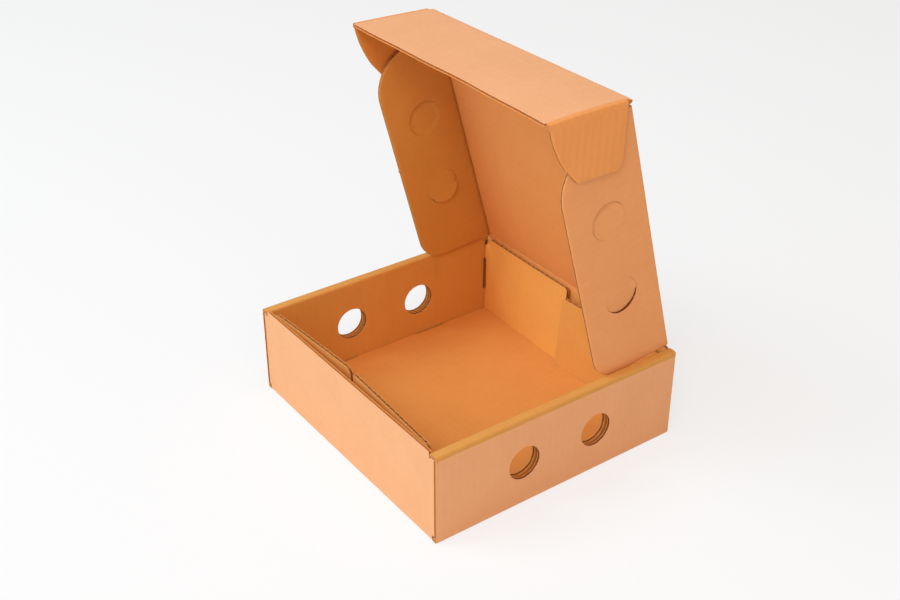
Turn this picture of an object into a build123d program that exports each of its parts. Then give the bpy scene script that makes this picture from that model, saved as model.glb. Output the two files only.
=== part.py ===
from build123d import *
import os
from math import cos, hypot, radians, sin, tan

# Board and overall sizes of the standing tray, in mm and degrees
BOARD = 2.7
WIDTH = 250.0
DEPTH = 233.0
RIM = 79.0
FRONT_RIM = 79.5
FOLD_INSIDE_RADIUS = 0.3

# Double side walls: outer panel, top strip, inner panel with tabs in floor slots
STRIP_WIDTH = 8.4
TONGUE_LENGTH = 55.0
TAB_START = 32.0
TAB_LENGTH = 30.0
HOLE_SPACING = 70.4
HOLE_HEIGHT = 38.0
HOLE_DIAMETER = 29.0

# Lid panel, leaning forward over the tray
LID_HINGE_HEIGHT = 80.65
LID_OPENING = 74.5
LID_LENGTH = 231.5

# Lid side flaps, with two partly cut discs each
SIDE_FLAP_CLEARANCE = 0.5
SIDE_FLAP_DEPTH = 71.4
SIDE_FLAP_START = 1.0
SIDE_FLAP_TAPER = 11.7
SIDE_FLAP_LOW_RADIUS = 24.0
SIDE_FLAP_END = 226.0
SIDE_FLAP_END_TAPER = 15.0
SIDE_FLAP_HIGH_RADIUS = 34.0
DISC_RADIUS = 14.6
DISC_DEPTH = 35.3
DISC_LOW = 78.0
DISC_HIGH = 148.5
KERF = 0.5
DISC_BRIDGE_ANGLE = 50.0

# Tuck flap and its two ears
TUCK_FOLD = 72.5
TUCK_LENGTH = 74.0
TUCK_CORNER_RADIUS = 2.0
EAR_CLEARANCE = 0.35
EAR_DEPTH = 50.0
EAR_START = 2.5
EAR_END = 73.0
EAR_SHOULDER = 43.5
EAR_BULGE = 4.5
EAR_NEAR_RADIUS = 7.0
EAR_SHOULDER_RADIUS = 4.0

# Inner corner flaps: where each pair meets, height and spring away from the wall
FRONT_MEETING_X = -0.15
FRONT_MEETING_GAP = 5.7
REAR_MEETING_X = -2.0
REAR_MEETING_GAP = 1.6
FRONT_FLAP_TOP = 79.8
REAR_LEFT_TOP = 79.0
REAR_RIGHT_TOP = 73.0
FRONT_LEFT_SPRING = 3.5
FRONT_RIGHT_SPRING = 2.7
REAR_LEFT_SPRING = 2.1
REAR_RIGHT_SPRING = 3.6
SHOULDER_HEIGHT = 70.5
SHOULDER_RUN = 9.0
FREE_CORNER_RADIUS = 3.0
FOLD_SLIT_LOW = 25.0
FOLD_SLIT_HIGH = 56.0

# Clearances between neighbouring pieces
CREASE_GAP = 0.4
FACE_GAP = 0.3

half_width = WIDTH / 2
half_depth = DEPTH / 2
half_board = BOARD / 2
fold_radius = half_board + FOLD_INSIDE_RADIUS
outer_fold_radius = BOARD + FOLD_INSIDE_RADIUS
wall_mid_x = half_width - half_board
inner_face_x = half_width - STRIP_WIDTH
inner_mid_x = inner_face_x + half_board
tongue_mid_x = half_width - BOARD - half_board
end_mid_y = half_depth - half_board
end_face_y = half_depth - BOARD
tuck_away_top = RIM - BOARD - FACE_GAP
floor_gap_top = BOARD + FACE_GAP
hinge_reach = half_board + CREASE_GAP
knuckle_radius = BOARD + FACE_GAP / 2


def bent_sheet(points):
    """One board thickness along a folded centre line, drawn flat."""
    return trace(FilletPolyline(*points, radius=fold_radius), line_width=BOARD)


def block(x_low, x_high, y_low, y_high, z_low, z_high):
    """A box between two opposite corners."""
    size = Box(x_high - x_low, y_high - y_low, z_high - z_low, align=(Align.MIN, Align.MIN, Align.MIN))
    return Pos(x_low, y_low, z_low) * size


# The tray: side walls, floor and top strips follow one folded section
side_points = [(-inner_mid_x, floor_gap_top), (-inner_mid_x, RIM - half_board)]
side_points += [(-wall_mid_x, RIM - half_board), (-wall_mid_x, half_board)]
side_points += [(wall_mid_x, half_board), (wall_mid_x, RIM - half_board)]
side_points += [(inner_mid_x, RIM - half_board), (inner_mid_x, floor_gap_top)]
tray = extrude(Plane.XZ * bent_sheet(side_points), amount=half_depth, both=True)

# Each inner panel stops short of the walls, where its corner flaps turn
panel_end_y = end_face_y - FACE_GAP - knuckle_radius - FACE_GAP
corner_half_x = outer_fold_radius + FACE_GAP
for side in (-1, 1):
    for end in (-1, 1):
        near_x = side * (inner_face_x - BOARD)
        far_x = side * (inner_face_x + corner_half_x)
        near_y = end * panel_end_y
        far_y = end * (half_depth + BOARD)
        x_pair = sorted((near_x, far_x))
        y_pair = sorted((near_y, far_y))
        tray -= block(x_pair[0], x_pair[1], y_pair[0], y_pair[1], floor_gap_top, RIM - BOARD)

# Front and rear walls fold up from the floor, between the side panels
fold_half_x = tongue_mid_x - half_board
for end in (-1, 1):
    y_pair = sorted((end * (half_depth - outer_fold_radius), end * (half_depth + BOARD)))
    tray -= block(-fold_half_x, fold_half_x, y_pair[0], y_pair[1], -BOARD, outer_fold_radius)
end_points = [(-end_mid_y, RIM / 2), (-end_mid_y, half_board)]
end_points += [(end_mid_y, half_board), (end_mid_y, RIM / 2)]
tray += extrude(Plane.YZ * bent_sheet(end_points), amount=fold_half_x, both=True)

# Their corner tongues turn back into the double side walls
for end in (-1, 1):
    tongue_y = end * (end_mid_y - TONGUE_LENGTH)
    tongue_points = [(-tongue_mid_x, tongue_y), (-tongue_mid_x, end * end_mid_y)]
    tongue_points += [(tongue_mid_x, end * end_mid_y), (tongue_mid_x, tongue_y)]
    tongue_height = tuck_away_top - floor_gap_top
    tray += Pos(0, 0, floor_gap_top) * extrude(bent_sheet(tongue_points), amount=tongue_height)

# Between the top strips the front and rear walls rise to their full height
upper_half_x = inner_face_x - FACE_GAP
rear_top = LID_HINGE_HEIGHT - hinge_reach
tray += block(-upper_half_x, upper_half_x, -half_depth, -end_face_y, floor_gap_top, FRONT_RIM)
tray += block(-upper_half_x, upper_half_x, end_face_y, half_depth, floor_gap_top, rear_top)

# Floor slots, and the inner panels' tabs standing in them
for side in (-1, 1):
    for end in (-1, 1):
        tab_y = end * (TAB_START + TAB_LENGTH / 2)
        slot = Box(BOARD + 2 * FACE_GAP, TAB_LENGTH + 2 * FACE_GAP, 2 * floor_gap_top)
        tab = Box(BOARD, TAB_LENGTH, 2 * BOARD, align=(Align.CENTER, Align.CENTER, Align.MIN))
        tray -= Pos(side * inner_mid_x, tab_y, 0) * slot
        tray += Pos(side * inner_mid_x, tab_y, FACE_GAP) * tab

# Round holes run straight through both side walls
hole = Rot(0, 90, 0) * Cylinder(HOLE_DIAMETER / 2, 2 * WIDTH)
tray -= Pos(0, -HOLE_SPACING / 2, HOLE_HEIGHT) * hole
tray -= Pos(0, HOLE_SPACING / 2, HOLE_HEIGHT) * hole

# Lid frame: x along the hinge, y up the lid, z towards the lid's inside
lean = radians(LID_OPENING)
lid_normal = (0, -sin(lean), -cos(lean))
lid_plane = Plane(origin=(0, end_mid_y, LID_HINGE_HEIGHT), x_dir=(1, 0, 0), z_dir=lid_normal)
flap_outer_x = inner_face_x - SIDE_FLAP_CLEARANCE
flap_inner_x = flap_outer_x - BOARD
flap_axis_x = flap_inner_x - FACE_GAP / 2
flap_axis_depth = half_board + FACE_GAP / 2
lid_half_x = flap_axis_x - FACE_GAP
lid_far_edge = LID_LENGTH - hinge_reach
lid_flat = block(-lid_half_x, lid_half_x, 0, lid_far_edge, -half_board, half_board)
lid_flat += Rot(0, 90, 0) * Cylinder(half_board, 2 * lid_half_x)
lid = lid_plane * lid_flat


def quarter_knuckle(length):
    """Rounded outside of a fold: a quarter disc in +x, -y, extruded along z."""
    edges = [Line((0, 0), (knuckle_radius, 0)), Line((0, 0), (0, -knuckle_radius))]
    mid = knuckle_radius * cos(radians(45))
    edges.append(ThreePointArc((knuckle_radius, 0), (mid, -mid), (0, -knuckle_radius)))
    return extrude(make_face(edges), amount=length)


# Side flap outline, drawn with x up the lid and y away from it
def side_flap_outline():
    """Flap face with a tapered lower end, a taper at the far end and round corners."""
    low_shift = (SIDE_FLAP_DEPTH - flap_axis_depth) * tan(radians(SIDE_FLAP_TAPER))
    high_shift = (SIDE_FLAP_DEPTH - flap_axis_depth) * tan(radians(SIDE_FLAP_END_TAPER))
    corners = [(SIDE_FLAP_START, flap_axis_depth), (SIDE_FLAP_START + low_shift, SIDE_FLAP_DEPTH)]
    corners += [(SIDE_FLAP_END - high_shift, SIDE_FLAP_DEPTH), (SIDE_FLAP_END, flap_axis_depth)]
    radii = [SIDE_FLAP_LOW_RADIUS, SIDE_FLAP_HIGH_RADIUS]
    rounded = FilletPolyline(*corners, radius=radii)
    closing = Line(corners[-1], corners[0])
    return make_face(rounded.edges() + closing.edges())


def disc_cut(centre_x, bridge_angle):
    """Thin round cut that leaves one bridge holding the disc."""
    ring = Circle(DISC_RADIUS + KERF / 2) - Circle(DISC_RADIUS - KERF / 2)
    half_bridge = DISC_RADIUS * tan(radians(DISC_BRIDGE_ANGLE / 2))
    bridge = Rectangle(2 * DISC_RADIUS, 2 * half_bridge, align=(Align.MIN, Align.CENTER))
    return Pos(centre_x, DISC_DEPTH) * (Rot(0, 0, bridge_angle) * (ring - bridge))


def side_flap(side):
    """One lid side flap, standing square to the lid on its inside."""
    face = side_flap_outline()
    face -= disc_cut(DISC_LOW, 160)
    face -= disc_cut(DISC_HIGH, -20)
    flat = extrude(face, amount=BOARD)
    upright = Plane(origin=(side * flap_inner_x, 0, 0), x_dir=(0, 1, 0), z_dir=(1, 0, 0))
    slab = upright * flat
    if side < 0:
        slab = Pos(-BOARD, 0, 0) * slab
    knuckle = Rot(90, 0, 0) * quarter_knuckle(SIDE_FLAP_END - SIDE_FLAP_START)
    knuckle = Pos(flap_axis_x, SIDE_FLAP_END, flap_axis_depth) * knuckle
    if side < 0:
        knuckle = mirror(knuckle, about=Plane.YZ)
    return lid_plane * (slab + knuckle)


# Tuck frame: y along the tuck flap from its fold, z towards its inside
tuck_in_lid = Pos(0, LID_LENGTH, 0) * Rot(TUCK_FOLD, 0, 0)
ear_inner_x = flap_outer_x + EAR_CLEARANCE
ear_axis_x = ear_inner_x + half_board
tuck_half_x = ear_axis_x - hinge_reach
tuck_flat = block(-tuck_half_x, tuck_half_x, 0, TUCK_LENGTH, -half_board, half_board)
free_corners = tuck_flat.edges().filter_by(Axis.Z).group_by(Axis.Y)[-1]
tuck_flat = fillet(free_corners, TUCK_CORNER_RADIUS)
tuck_flat += Rot(0, 90, 0) * Cylinder(half_board, 2 * tuck_half_x)
tuck_flap = lid_plane * (tuck_in_lid * tuck_flat)


def ear(side):
    """One ear: square near the lid, curving away towards the free edge."""
    near = (EAR_START, 0)
    near_top = (EAR_START, EAR_DEPTH)
    shoulder = (EAR_SHOULDER, EAR_DEPTH)
    far = (EAR_END, 0)
    slant = hypot(EAR_END - EAR_SHOULDER, EAR_DEPTH)
    bulge_x = (EAR_SHOULDER + EAR_END) / 2 + EAR_BULGE * EAR_DEPTH / slant
    bulge_y = EAR_DEPTH / 2 + EAR_BULGE * (EAR_END - EAR_SHOULDER) / slant
    bulge = (bulge_x, bulge_y)
    straight = [Line(far, near), Line(near, near_top), Line(near_top, shoulder)]
    face = make_face(straight + [ThreePointArc(shoulder, bulge, far)])
    high = face.vertices().group_by(Axis.Y)[-1].sort_by(Axis.X)
    face = fillet(high[0], EAR_NEAR_RADIUS)
    high = face.vertices().sort_by_distance((EAR_SHOULDER, EAR_DEPTH, 0))
    face = fillet(high[0], EAR_SHOULDER_RADIUS)
    flat = Pos(0, 0, -half_board) * extrude(face, amount=BOARD)
    slab = Plane(origin=(side * ear_axis_x, 0, 0), x_dir=(0, 1, 0), z_dir=(1, 0, 0)) * flat
    edge_length = EAR_END - EAR_START
    edge = Rot(90, 0, 0) * Cylinder(half_board, edge_length)
    edge = Pos(side * ear_axis_x, EAR_START + edge_length / 2, 0) * edge
    return lid_plane * (tuck_in_lid * (slab + edge))


def corner_flap(side, end, reach, top, spring):
    """One inner corner flap, turned off the wall by its spring angle."""
    height = top - floor_gap_top
    shoulder = SHOULDER_HEIGHT - floor_gap_top
    corners = [(0, 0), (0, shoulder), (shoulder_flat, shoulder)]
    corners += [(SHOULDER_RUN, height), (reach, height), (reach, 0)]
    face = make_face(Polyline(*corners, close=True).edges())
    free = face.vertices().group_by(Axis.X)[-1]
    face = fillet(free, FREE_CORNER_RADIUS)
    upright = Plane(origin=(0, FACE_GAP / 2 + BOARD, 0), x_dir=(1, 0, 0), z_dir=(0, -1, 0))
    slab = upright * extrude(face, amount=BOARD)
    knuckle = mirror(quarter_knuckle(shoulder), about=Plane.XZ)
    knuckle = mirror(knuckle, about=Plane.YZ)
    slit_low = FOLD_SLIT_LOW - floor_gap_top
    slit_high = FOLD_SLIT_HIGH - floor_gap_top
    slit = block(-2 * BOARD, 0, -BOARD, 2 * BOARD, slit_low, slit_high)
    flap = slab + (knuckle - slit)
    if end < 0:
        flap = mirror(flap, about=Plane.XZ)
    if side > 0:
        flap = mirror(flap, about=Plane.YZ)
    axis_x = side * (inner_face_x - FACE_GAP / 2)
    axis_y = end * (end_face_y - FACE_GAP - knuckle_radius)
    return Pos(axis_x, axis_y, floor_gap_top) * (Rot(0, 0, side * end * spring) * flap)


# The flaps stay low where the lid's side flaps come down beside their folds
flap_fold_x = inner_face_x - FACE_GAP / 2
shoulder_flat = flap_fold_x - flap_inner_x + FACE_GAP
front_left_reach = flap_fold_x + FRONT_MEETING_X - FRONT_MEETING_GAP / 2
front_right_reach = flap_fold_x - FRONT_MEETING_X - FRONT_MEETING_GAP / 2
rear_left_reach = flap_fold_x + REAR_MEETING_X - REAR_MEETING_GAP / 2
rear_right_reach = flap_fold_x - REAR_MEETING_X - REAR_MEETING_GAP / 2
nodes = {
    "tray": tray,
    "lid": lid,
    "side_flap_left": side_flap(-1),
    "side_flap_right": side_flap(1),
    "tuck_flap": tuck_flap,
    "ear_left": ear(-1),
    "ear_right": ear(1),
    "corner_flap_front_left": corner_flap(-1, -1, front_left_reach, FRONT_FLAP_TOP, FRONT_LEFT_SPRING),
    "corner_flap_front_right": corner_flap(1, -1, front_right_reach, FRONT_FLAP_TOP, FRONT_RIGHT_SPRING),
    "corner_flap_rear_left": corner_flap(-1, 1, rear_left_reach, REAR_LEFT_TOP, REAR_LEFT_SPRING),
    "corner_flap_rear_right": corner_flap(1, 1, rear_right_reach, REAR_RIGHT_TOP, REAR_RIGHT_SPRING),
}

os.makedirs("parts", exist_ok=True)
for name, shape in nodes.items():
    export_step(shape, f"parts/{name}.step")
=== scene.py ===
"""Looks of the corrugated bakery box: liners, flutes, creases, kraft paper and the studio round it."""

import logging
import math
from collections.abc import Callable, Iterable, Sequence
from dataclasses import dataclass, field
from enum import Enum

import bmesh
import bpy
import numpy as np
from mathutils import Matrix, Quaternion, Vector


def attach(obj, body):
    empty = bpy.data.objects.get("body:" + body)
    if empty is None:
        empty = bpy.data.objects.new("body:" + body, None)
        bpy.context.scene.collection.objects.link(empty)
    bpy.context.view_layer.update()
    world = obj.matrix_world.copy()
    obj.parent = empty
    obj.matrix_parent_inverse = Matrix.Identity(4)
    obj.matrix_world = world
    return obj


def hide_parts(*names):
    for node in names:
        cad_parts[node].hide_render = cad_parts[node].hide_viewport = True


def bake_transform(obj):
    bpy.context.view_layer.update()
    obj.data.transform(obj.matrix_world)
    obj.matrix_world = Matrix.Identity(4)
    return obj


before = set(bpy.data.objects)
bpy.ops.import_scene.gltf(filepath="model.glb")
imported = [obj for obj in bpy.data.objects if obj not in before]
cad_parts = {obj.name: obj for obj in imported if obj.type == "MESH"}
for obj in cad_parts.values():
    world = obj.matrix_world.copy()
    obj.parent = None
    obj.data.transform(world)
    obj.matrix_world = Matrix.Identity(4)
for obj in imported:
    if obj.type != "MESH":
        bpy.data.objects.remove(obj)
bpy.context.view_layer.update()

logging.basicConfig(level=logging.INFO, format="%(name)s: %(message)s")
log = logging.getLogger("bakery_box")

BLANK_MAP = "blank"

# Distances of the discs from the lid's hinge, and the directions of their bridges in degrees
LOWER_DISC = 0.078
UPPER_DISC = 0.1485
LOWER_BRIDGE = 16
UPPER_BRIDGE = 201

Array = np.ndarray
Warp = Callable[[Array, Array], Array]
Seam = Callable[[Array, Array], Array]


def unit(vector: Sequence[float]) -> Array:
    """The vector scaled to length one."""
    v = np.asarray(vector, float)
    return v / np.linalg.norm(v)


def flat(p: Array, q: Array) -> Array:
    """No departure from the panel's plane: zero at every (p, q)."""
    return np.zeros(np.broadcast(p, q).shape)


def no_seam(p: Array, q: Array) -> Array:
    """No shared edge: false at every (p, q)."""
    return np.zeros(np.broadcast(p, q).shape, bool)


class Side(Enum):
    """Left and right as seen from the front of the box."""

    LEFT = -1
    RIGHT = 1

    @property
    def word(self) -> str:
        """The side's name in lower case."""
        return self.name.lower()


class End(Enum):
    """Front and rear of the tray."""

    FRONT = -1
    REAR = 1

    @property
    def word(self) -> str:
        """The end's name in lower case."""
        return self.name.lower()


class Layer(Enum):
    """Material index of each paper layer on a piece."""

    OUTSIDE = 0
    INSIDE = 1
    FLUTING = 2
    # Dark paper: cut edges, and painted shade in holes, cuts and fold grooves.
    CUT = 3


class Grain(Enum):
    """Which panel coordinate the flutes run along."""

    ALONG_P = 0
    ALONG_Q = 1


@dataclass(frozen=True)
class Board:
    """Sizes of the corrugated board in metres."""

    thickness: float = 0.0027
    liner: float = 0.00034
    fluting: float = 0.00024
    pitch: float = 0.0065
    samples: int = 14

    @property
    def half(self) -> float:
        """Half the board's thickness."""
        return self.thickness / 2


BOARD = Board()


@dataclass
class MeshBag:
    """Gathers closed skins for one piece: points, quads, layer numbers and blank coordinates."""

    points: list[Array] = field(default_factory=list)
    quads: list[Array] = field(default_factory=list)
    layers: list[Array] = field(default_factory=list)
    blanks: list[Array] = field(default_factory=list)
    count: int = 0

    def add(self, points: Array, quads: Array, layers: Array, blank: Array) -> None:
        """Adds one skin.

        Args:
            points: (n, 3) places in metres.
            quads: (m, 4) indices into points.
            layers: (m,) layer numbers.
            blank: (n, 2) coordinates on the flat blank, across and along the flutes.
        """
        self.points.append(points)
        self.quads.append(quads + self.count)
        self.layers.append(layers)
        self.blanks.append(blank)
        self.count += len(points)

    def build(self, name: str, paints: Sequence[bpy.types.Material]) -> bpy.types.Object:
        """Makes one object of everything gathered, with faces pointing outwards.

        Args:
            name: the piece's name.
            paints: materials in the order of Layer.

        Returns:
            The new object, at the origin, with its blank coordinates as a UV map.
        """
        points = np.concatenate(self.points)
        quads = np.concatenate(self.quads).astype(np.int32)
        mesh = bpy.data.meshes.new(name)
        mesh.vertices.add(len(points))
        mesh.vertices.foreach_set("co", points.astype(np.float32).ravel())
        mesh.loops.add(quads.size)
        mesh.loops.foreach_set("vertex_index", quads.ravel())
        mesh.polygons.add(len(quads))
        mesh.polygons.foreach_set("loop_start", np.arange(0, quads.size, 4, dtype=np.int32))
        mesh.polygons.foreach_set("material_index", np.concatenate(self.layers).astype(np.int32))
        blank = mesh.uv_layers.new(name=BLANK_MAP)
        spread = np.concatenate(self.blanks)[quads.ravel()]
        blank.data.foreach_set("uv", spread.astype(np.float32).ravel())
        mesh.update(calc_edges=True)
        work = bmesh.new()
        work.from_mesh(mesh)
        bmesh.ops.remove_doubles(work, verts=work.verts, dist=2e-6)
        bmesh.ops.recalc_face_normals(work, faces=work.faces)
        work.to_mesh(mesh)
        work.free()
        mesh.polygons.foreach_set("use_smooth", np.ones(len(mesh.polygons), bool))
        mesh.set_sharp_from_angle(angle=math.radians(34))
        for paint in paints:
            mesh.materials.append(paint)
        piece = bpy.data.objects.new(name, mesh)
        bpy.context.scene.collection.objects.link(piece)
        return piece


def skin_quads(keep: Array, wrap: bool, open_edge: Callable[[int], Array]) -> tuple[Array, Array, Array]:
    """Index quads of a closed skin between two equal grids.

    A grid cell (i, j) is a quad on the top and, turned over, on the bottom. A wall stands on each
    cell side whose neighbour isn't kept, unless that side is a seam with another skin.

    Args:
        keep: (rows - 1, columns - 1) cells that exist.
        wrap: whether the last column meets the first.
        open_edge: gives, for side 0 to 3 of every cell, whether it is a seam.

    Returns:
        The top quads, the bottom quads and the wall quads.
    """
    rows, columns = keep.shape[0] + 1, keep.shape[1] + 1
    index = np.arange(rows * columns).reshape(rows, columns)
    shift = rows * columns
    a, b = index[:-1, :-1], index[:-1, 1:]
    c, d = index[1:, 1:], index[1:, :-1]
    top = np.stack([a, b, c, d], -1)[keep]
    bottom = np.stack([a, d, c, b], -1)[keep] + shift
    padded = np.pad(keep, 1)
    if wrap:
        padded[1:-1, 0] = keep[:, -1]
        padded[1:-1, -1] = keep[:, 0]
    neighbours = [padded[:-2, 1:-1], padded[1:-1, 2:], padded[2:, 1:-1], padded[1:-1, :-2]]
    sides = [(b, a), (c, b), (d, c), (a, d)]
    walls = []
    for number, (neighbour, (first, second)) in enumerate(zip(neighbours, sides)):
        bare = keep & ~neighbour & ~open_edge(number)
        walls.append(np.stack([first, second, second + shift, first + shift], -1)[bare])
    return top, bottom, np.concatenate(walls)


@dataclass(frozen=True)
class Plane3:
    """A panel's own frame: place = origin + p * across + q * along + h * out."""

    origin: Array
    across: Array
    along: Array
    out: Array

    def place(self, p: Array, q: Array, h: Array) -> Array:
        """World points for panel coordinates p, q and height h over the mid-plane."""
        p, q, h = np.broadcast_arrays(p, q, h)
        steps = p[..., None] * self.across + q[..., None] * self.along + h[..., None] * self.out
        return self.origin + steps

    def edge(self, p: float, q: float) -> Array:
        """One world point on the mid-plane."""
        return self.origin + p * self.across + q * self.along


@dataclass
class Cell:
    """A grid of panel coordinates, with the cells that exist and how its edges join others."""

    p: Array
    q: Array
    keep: Array
    wrap: bool = False
    seam: Seam = no_seam

    def open_edge(self, side: int) -> Array:
        """Whether each cell's side 0 to 3 lies on a seam, tested at the side's middle."""
        corners = [(slice(None, -1), slice(None, -1)), (slice(None, -1), slice(1, None)),
                   (slice(1, None), slice(1, None)), (slice(1, None), slice(None, -1))]
        first, second = corners[side], corners[(side + 1) % 4]
        mid_p = (self.p[first] + self.p[second]) / 2
        mid_q = (self.q[first] + self.q[second]) / 2
        return self.seam(mid_p, mid_q)


def span(low: float, high: float, step: float) -> Array:
    """Evenly spaced values from low to high, no further apart than step."""
    return np.linspace(low, high, max(2, int(math.ceil((high - low) / step)) + 1))


def stops(marks: Sequence[float], step: float) -> Array:
    """Values through all the marks in order, with even steps between them."""
    runs = [span(a, b, step)[:-1] for a, b in zip(marks[:-1], marks[1:])]
    return np.concatenate([*runs, [marks[-1]]])


def rect_cell(p_marks: Sequence[float], q_marks: Sequence[float], step: float,
              missing: Iterable[tuple[float, float, float, float]] = ()) -> Cell:
    """A rectangular grid through the marks, without the named openings.

    Args:
        p_marks: values of p that get a grid line.
        q_marks: values of q that get a grid line.
        step: the largest spacing.
        missing: openings as (p low, p high, q low, q high).

    Returns:
        The cell.
    """
    p, q = np.meshgrid(stops(p_marks, step), stops(q_marks, step))
    mid_p = (p[:-1, :-1] + p[1:, 1:]) / 2
    mid_q = (q[:-1, :-1] + q[1:, 1:]) / 2
    keep = np.ones(mid_p.shape, bool)
    for p_low, p_high, q_low, q_high in missing:
        keep &= ~((mid_p > p_low) & (mid_p < p_high) & (mid_q > q_low) & (mid_q < q_high))
    return Cell(p, q, keep)


def ray_shares(length: Array, rings: int, power: float, rim: Sequence[float]) -> Array:
    """Shares along each ray: rings bunched by a power, then the given distances from the ray's end.

    Args:
        length: length of each ray.
        rings: number of rings before the rim.
        power: 1 for even rings, more to bunch them at the start.
        rim: falling distances from the end in metres, or none.

    Returns:
        Rows of shares from 0 to 1, one column for each ray.
    """
    t = (np.linspace(0, 1, rings + 1) ** power)[:, None] * np.ones(length.shape)
    if not rim:
        return t
    return np.vstack([t * (1 - rim[0] / length), *(1 - d / length for d in (*rim[1:], 0.0))])


def cut_distance(outline: Array, p: Array, q: Array, fold_q: float) -> Array:
    """Distance from points to an outline's cut sides, leaving out the side on the fold.

    For a side from a to b it is |point - (a + t (b - a))|, with t the point's share along it held to 0..1.
    """
    first, second = outline, np.roll(outline, -1, axis=0)
    folded = (np.abs(first[:, 1] - fold_q) < 1e-6) & (np.abs(second[:, 1] - fold_q) < 1e-6)
    nearest = np.full(np.broadcast(p, q).shape, np.inf)
    for a, b in zip(first[~folded], second[~folded]):
        side = b - a
        t = np.clip(((p - a[0]) * side[0] + (q - a[1]) * side[1]) / (side @ side), 0, 1)
        nearest = np.minimum(nearest, np.hypot(p - a[0] - t * side[0], q - a[1] - t * side[1]))
    return nearest


@dataclass(frozen=True)
class PressedEdge:
    """A die-cut edge: the board is pressed thinner close to an outline's cut sides."""

    outline: Array
    fold_q: float
    share: float = 0.36
    width: float = 0.0016
    rim: tuple[float, ...] = (0.0016, 0.0010, 0.0005, 0.0002)

    def __call__(self, p: Array, q: Array) -> Array:
        """Lost share of the thickness: share * (1 - distance / width)^2 inside the width, else zero."""
        distance = cut_distance(self.outline, p, q, self.fold_q)
        return self.share * np.clip(1 - distance / self.width, 0, 1) ** 2


def star_cell(centre: tuple[float, float], outline: Array, rings: int = 7, seam: Seam = no_seam,
              rim: Sequence[float] = ()) -> Cell:
    """Rings that grow from a centre to an outline: point = centre + t * (outline - centre).

    Args:
        centre: a point that sees the whole outline.
        outline: (n, 2) closed outline, its first point not repeated.
        rings: number of rings.
        seam: where the outline joins another cell.
        rim: distances from the outline that get a ring of their own.

    Returns:
        The cell, wrapped round the centre.
    """
    closed = np.vstack([outline, outline[:1]])
    away = closed - np.array(centre)
    t = ray_shares(np.linalg.norm(away, axis=1), rings, 1.0, rim)
    p, q = centre[0] + t * away[:, 0], centre[1] + t * away[:, 1]
    return Cell(p, q, np.ones((len(t) - 1, len(closed) - 1), bool), True, seam)


def ring_cell(centre: tuple[float, float], radius: float, outline: Array, rings: int = 9,
              seam: Seam = no_seam, rim: Sequence[float] = ()) -> Cell:
    """Rings from a round hole to an outline, along the rays from the hole's centre.

    A ring point is (1 - t) * (centre + radius * direction) + t * outline, with t bunched at the hole.

    Args:
        centre: the hole's centre.
        radius: the hole's radius.
        outline: (n, 2) closed outline, its first point not repeated.
        rings: number of rings.
        seam: where the outline joins another cell.
        rim: distances from the outline that get a ring of their own.

    Returns:
        The cell, wrapped round the hole.
    """
    closed = np.vstack([outline, outline[:1]])
    away = closed - np.array(centre)
    length = np.linalg.norm(away, axis=1)
    brink = np.array(centre) + radius * away / length[:, None]
    t = ray_shares(length - radius, rings, 1.4, rim)
    p = (1 - t) * brink[:, 0] + t * closed[:, 0]
    q = (1 - t) * brink[:, 1] + t * closed[:, 1]
    return Cell(p, q, np.ones((len(t) - 1, len(closed) - 1), bool), True, seam)


def round_outline(corners: Sequence[tuple[float, float]], radii: Sequence[float],
                  step: float = 0.003) -> Array:
    """A closed outline with rounded corners.

    At each corner an arc of the given radius touches both sides: its tangent length is
    radius / tan(half the corner's angle), and its points turn evenly from one side to the other.

    Args:
        corners: the sharp corners in order.
        radii: one radius for each corner, 0 for a sharp one.
        step: the largest spacing on the straight runs.

    Returns:
        (n, 2) outline, its first point not repeated.
    """
    points = np.asarray(corners, float)
    pieces: list[Array] = []
    for number, radius in enumerate(radii):
        here = points[number]
        before, after = unit(points[number - 1] - here), unit(points[(number + 1) % len(points)] - here)
        if radius <= 0:
            pieces.append(here[None])
            continue
        half = math.acos(float(np.clip(before @ after, -1, 1))) / 2
        tangent = radius / math.tan(half)
        hub = here + unit(before + after) * radius / math.sin(half)
        start, finish = here + before * tangent - hub, here + after * tangent - hub
        angle = math.pi - 2 * half
        t = np.linspace(0, 1, max(4, int(math.degrees(angle) / 7)))[:, None]
        turn = (np.sin((1 - t) * angle) * start + np.sin(t * angle) * finish) / math.sin(angle)
        pieces.append(hub + turn)
    joined = np.concatenate(pieces)
    return even_outline(joined, step)


def even_outline(outline: Array, step: float) -> Array:
    """The outline with its long runs divided, by walking its length and keeping every given point."""
    closed = np.vstack([outline, outline[:1]])
    lengths = np.linalg.norm(np.diff(closed, axis=0), axis=1)
    travelled = np.concatenate([[0], np.cumsum(lengths)])
    walk = np.unique(np.concatenate([stops(list(travelled), step)]))
    return np.column_stack([np.interp(walk, travelled, closed[:, k]) for k in (0, 1)])[:-1]


def reach_of(outline: Array, s: Array, cross: int) -> tuple[Array, Array]:
    """Lowest and highest crossing of an outline by the lines s = constant.

    Each outline edge crosses a line where s lies between the edge's ends, at the place found by
    proportion along the edge.

    Args:
        outline: (n, 2) closed outline.
        s: values of the coordinate across the flutes.
        cross: column of the outline that s is measured along.

    Returns:
        Low and high values of the other coordinate.
    """
    first, second = outline, np.roll(outline, -1, axis=0)
    s1, s2 = first[:, cross][:, None], second[:, cross][:, None]
    v1, v2 = first[:, 1 - cross][:, None], second[:, 1 - cross][:, None]
    inside = (np.minimum(s1, s2) <= s) & (s <= np.maximum(s1, s2)) & (np.abs(s2 - s1) > 1e-12)
    value = v1 + (s - s1) / np.where(np.abs(s2 - s1) > 1e-12, s2 - s1, 1) * (v2 - v1)
    low = np.where(inside, value, np.inf).min(0)
    high = np.where(inside, value, -np.inf).max(0)
    return low, high


@dataclass
class FluteRun:
    """A stretch of fluting: values s across the flutes, each from low to high along them."""

    s: Array
    low: Array
    high: Array


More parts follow.
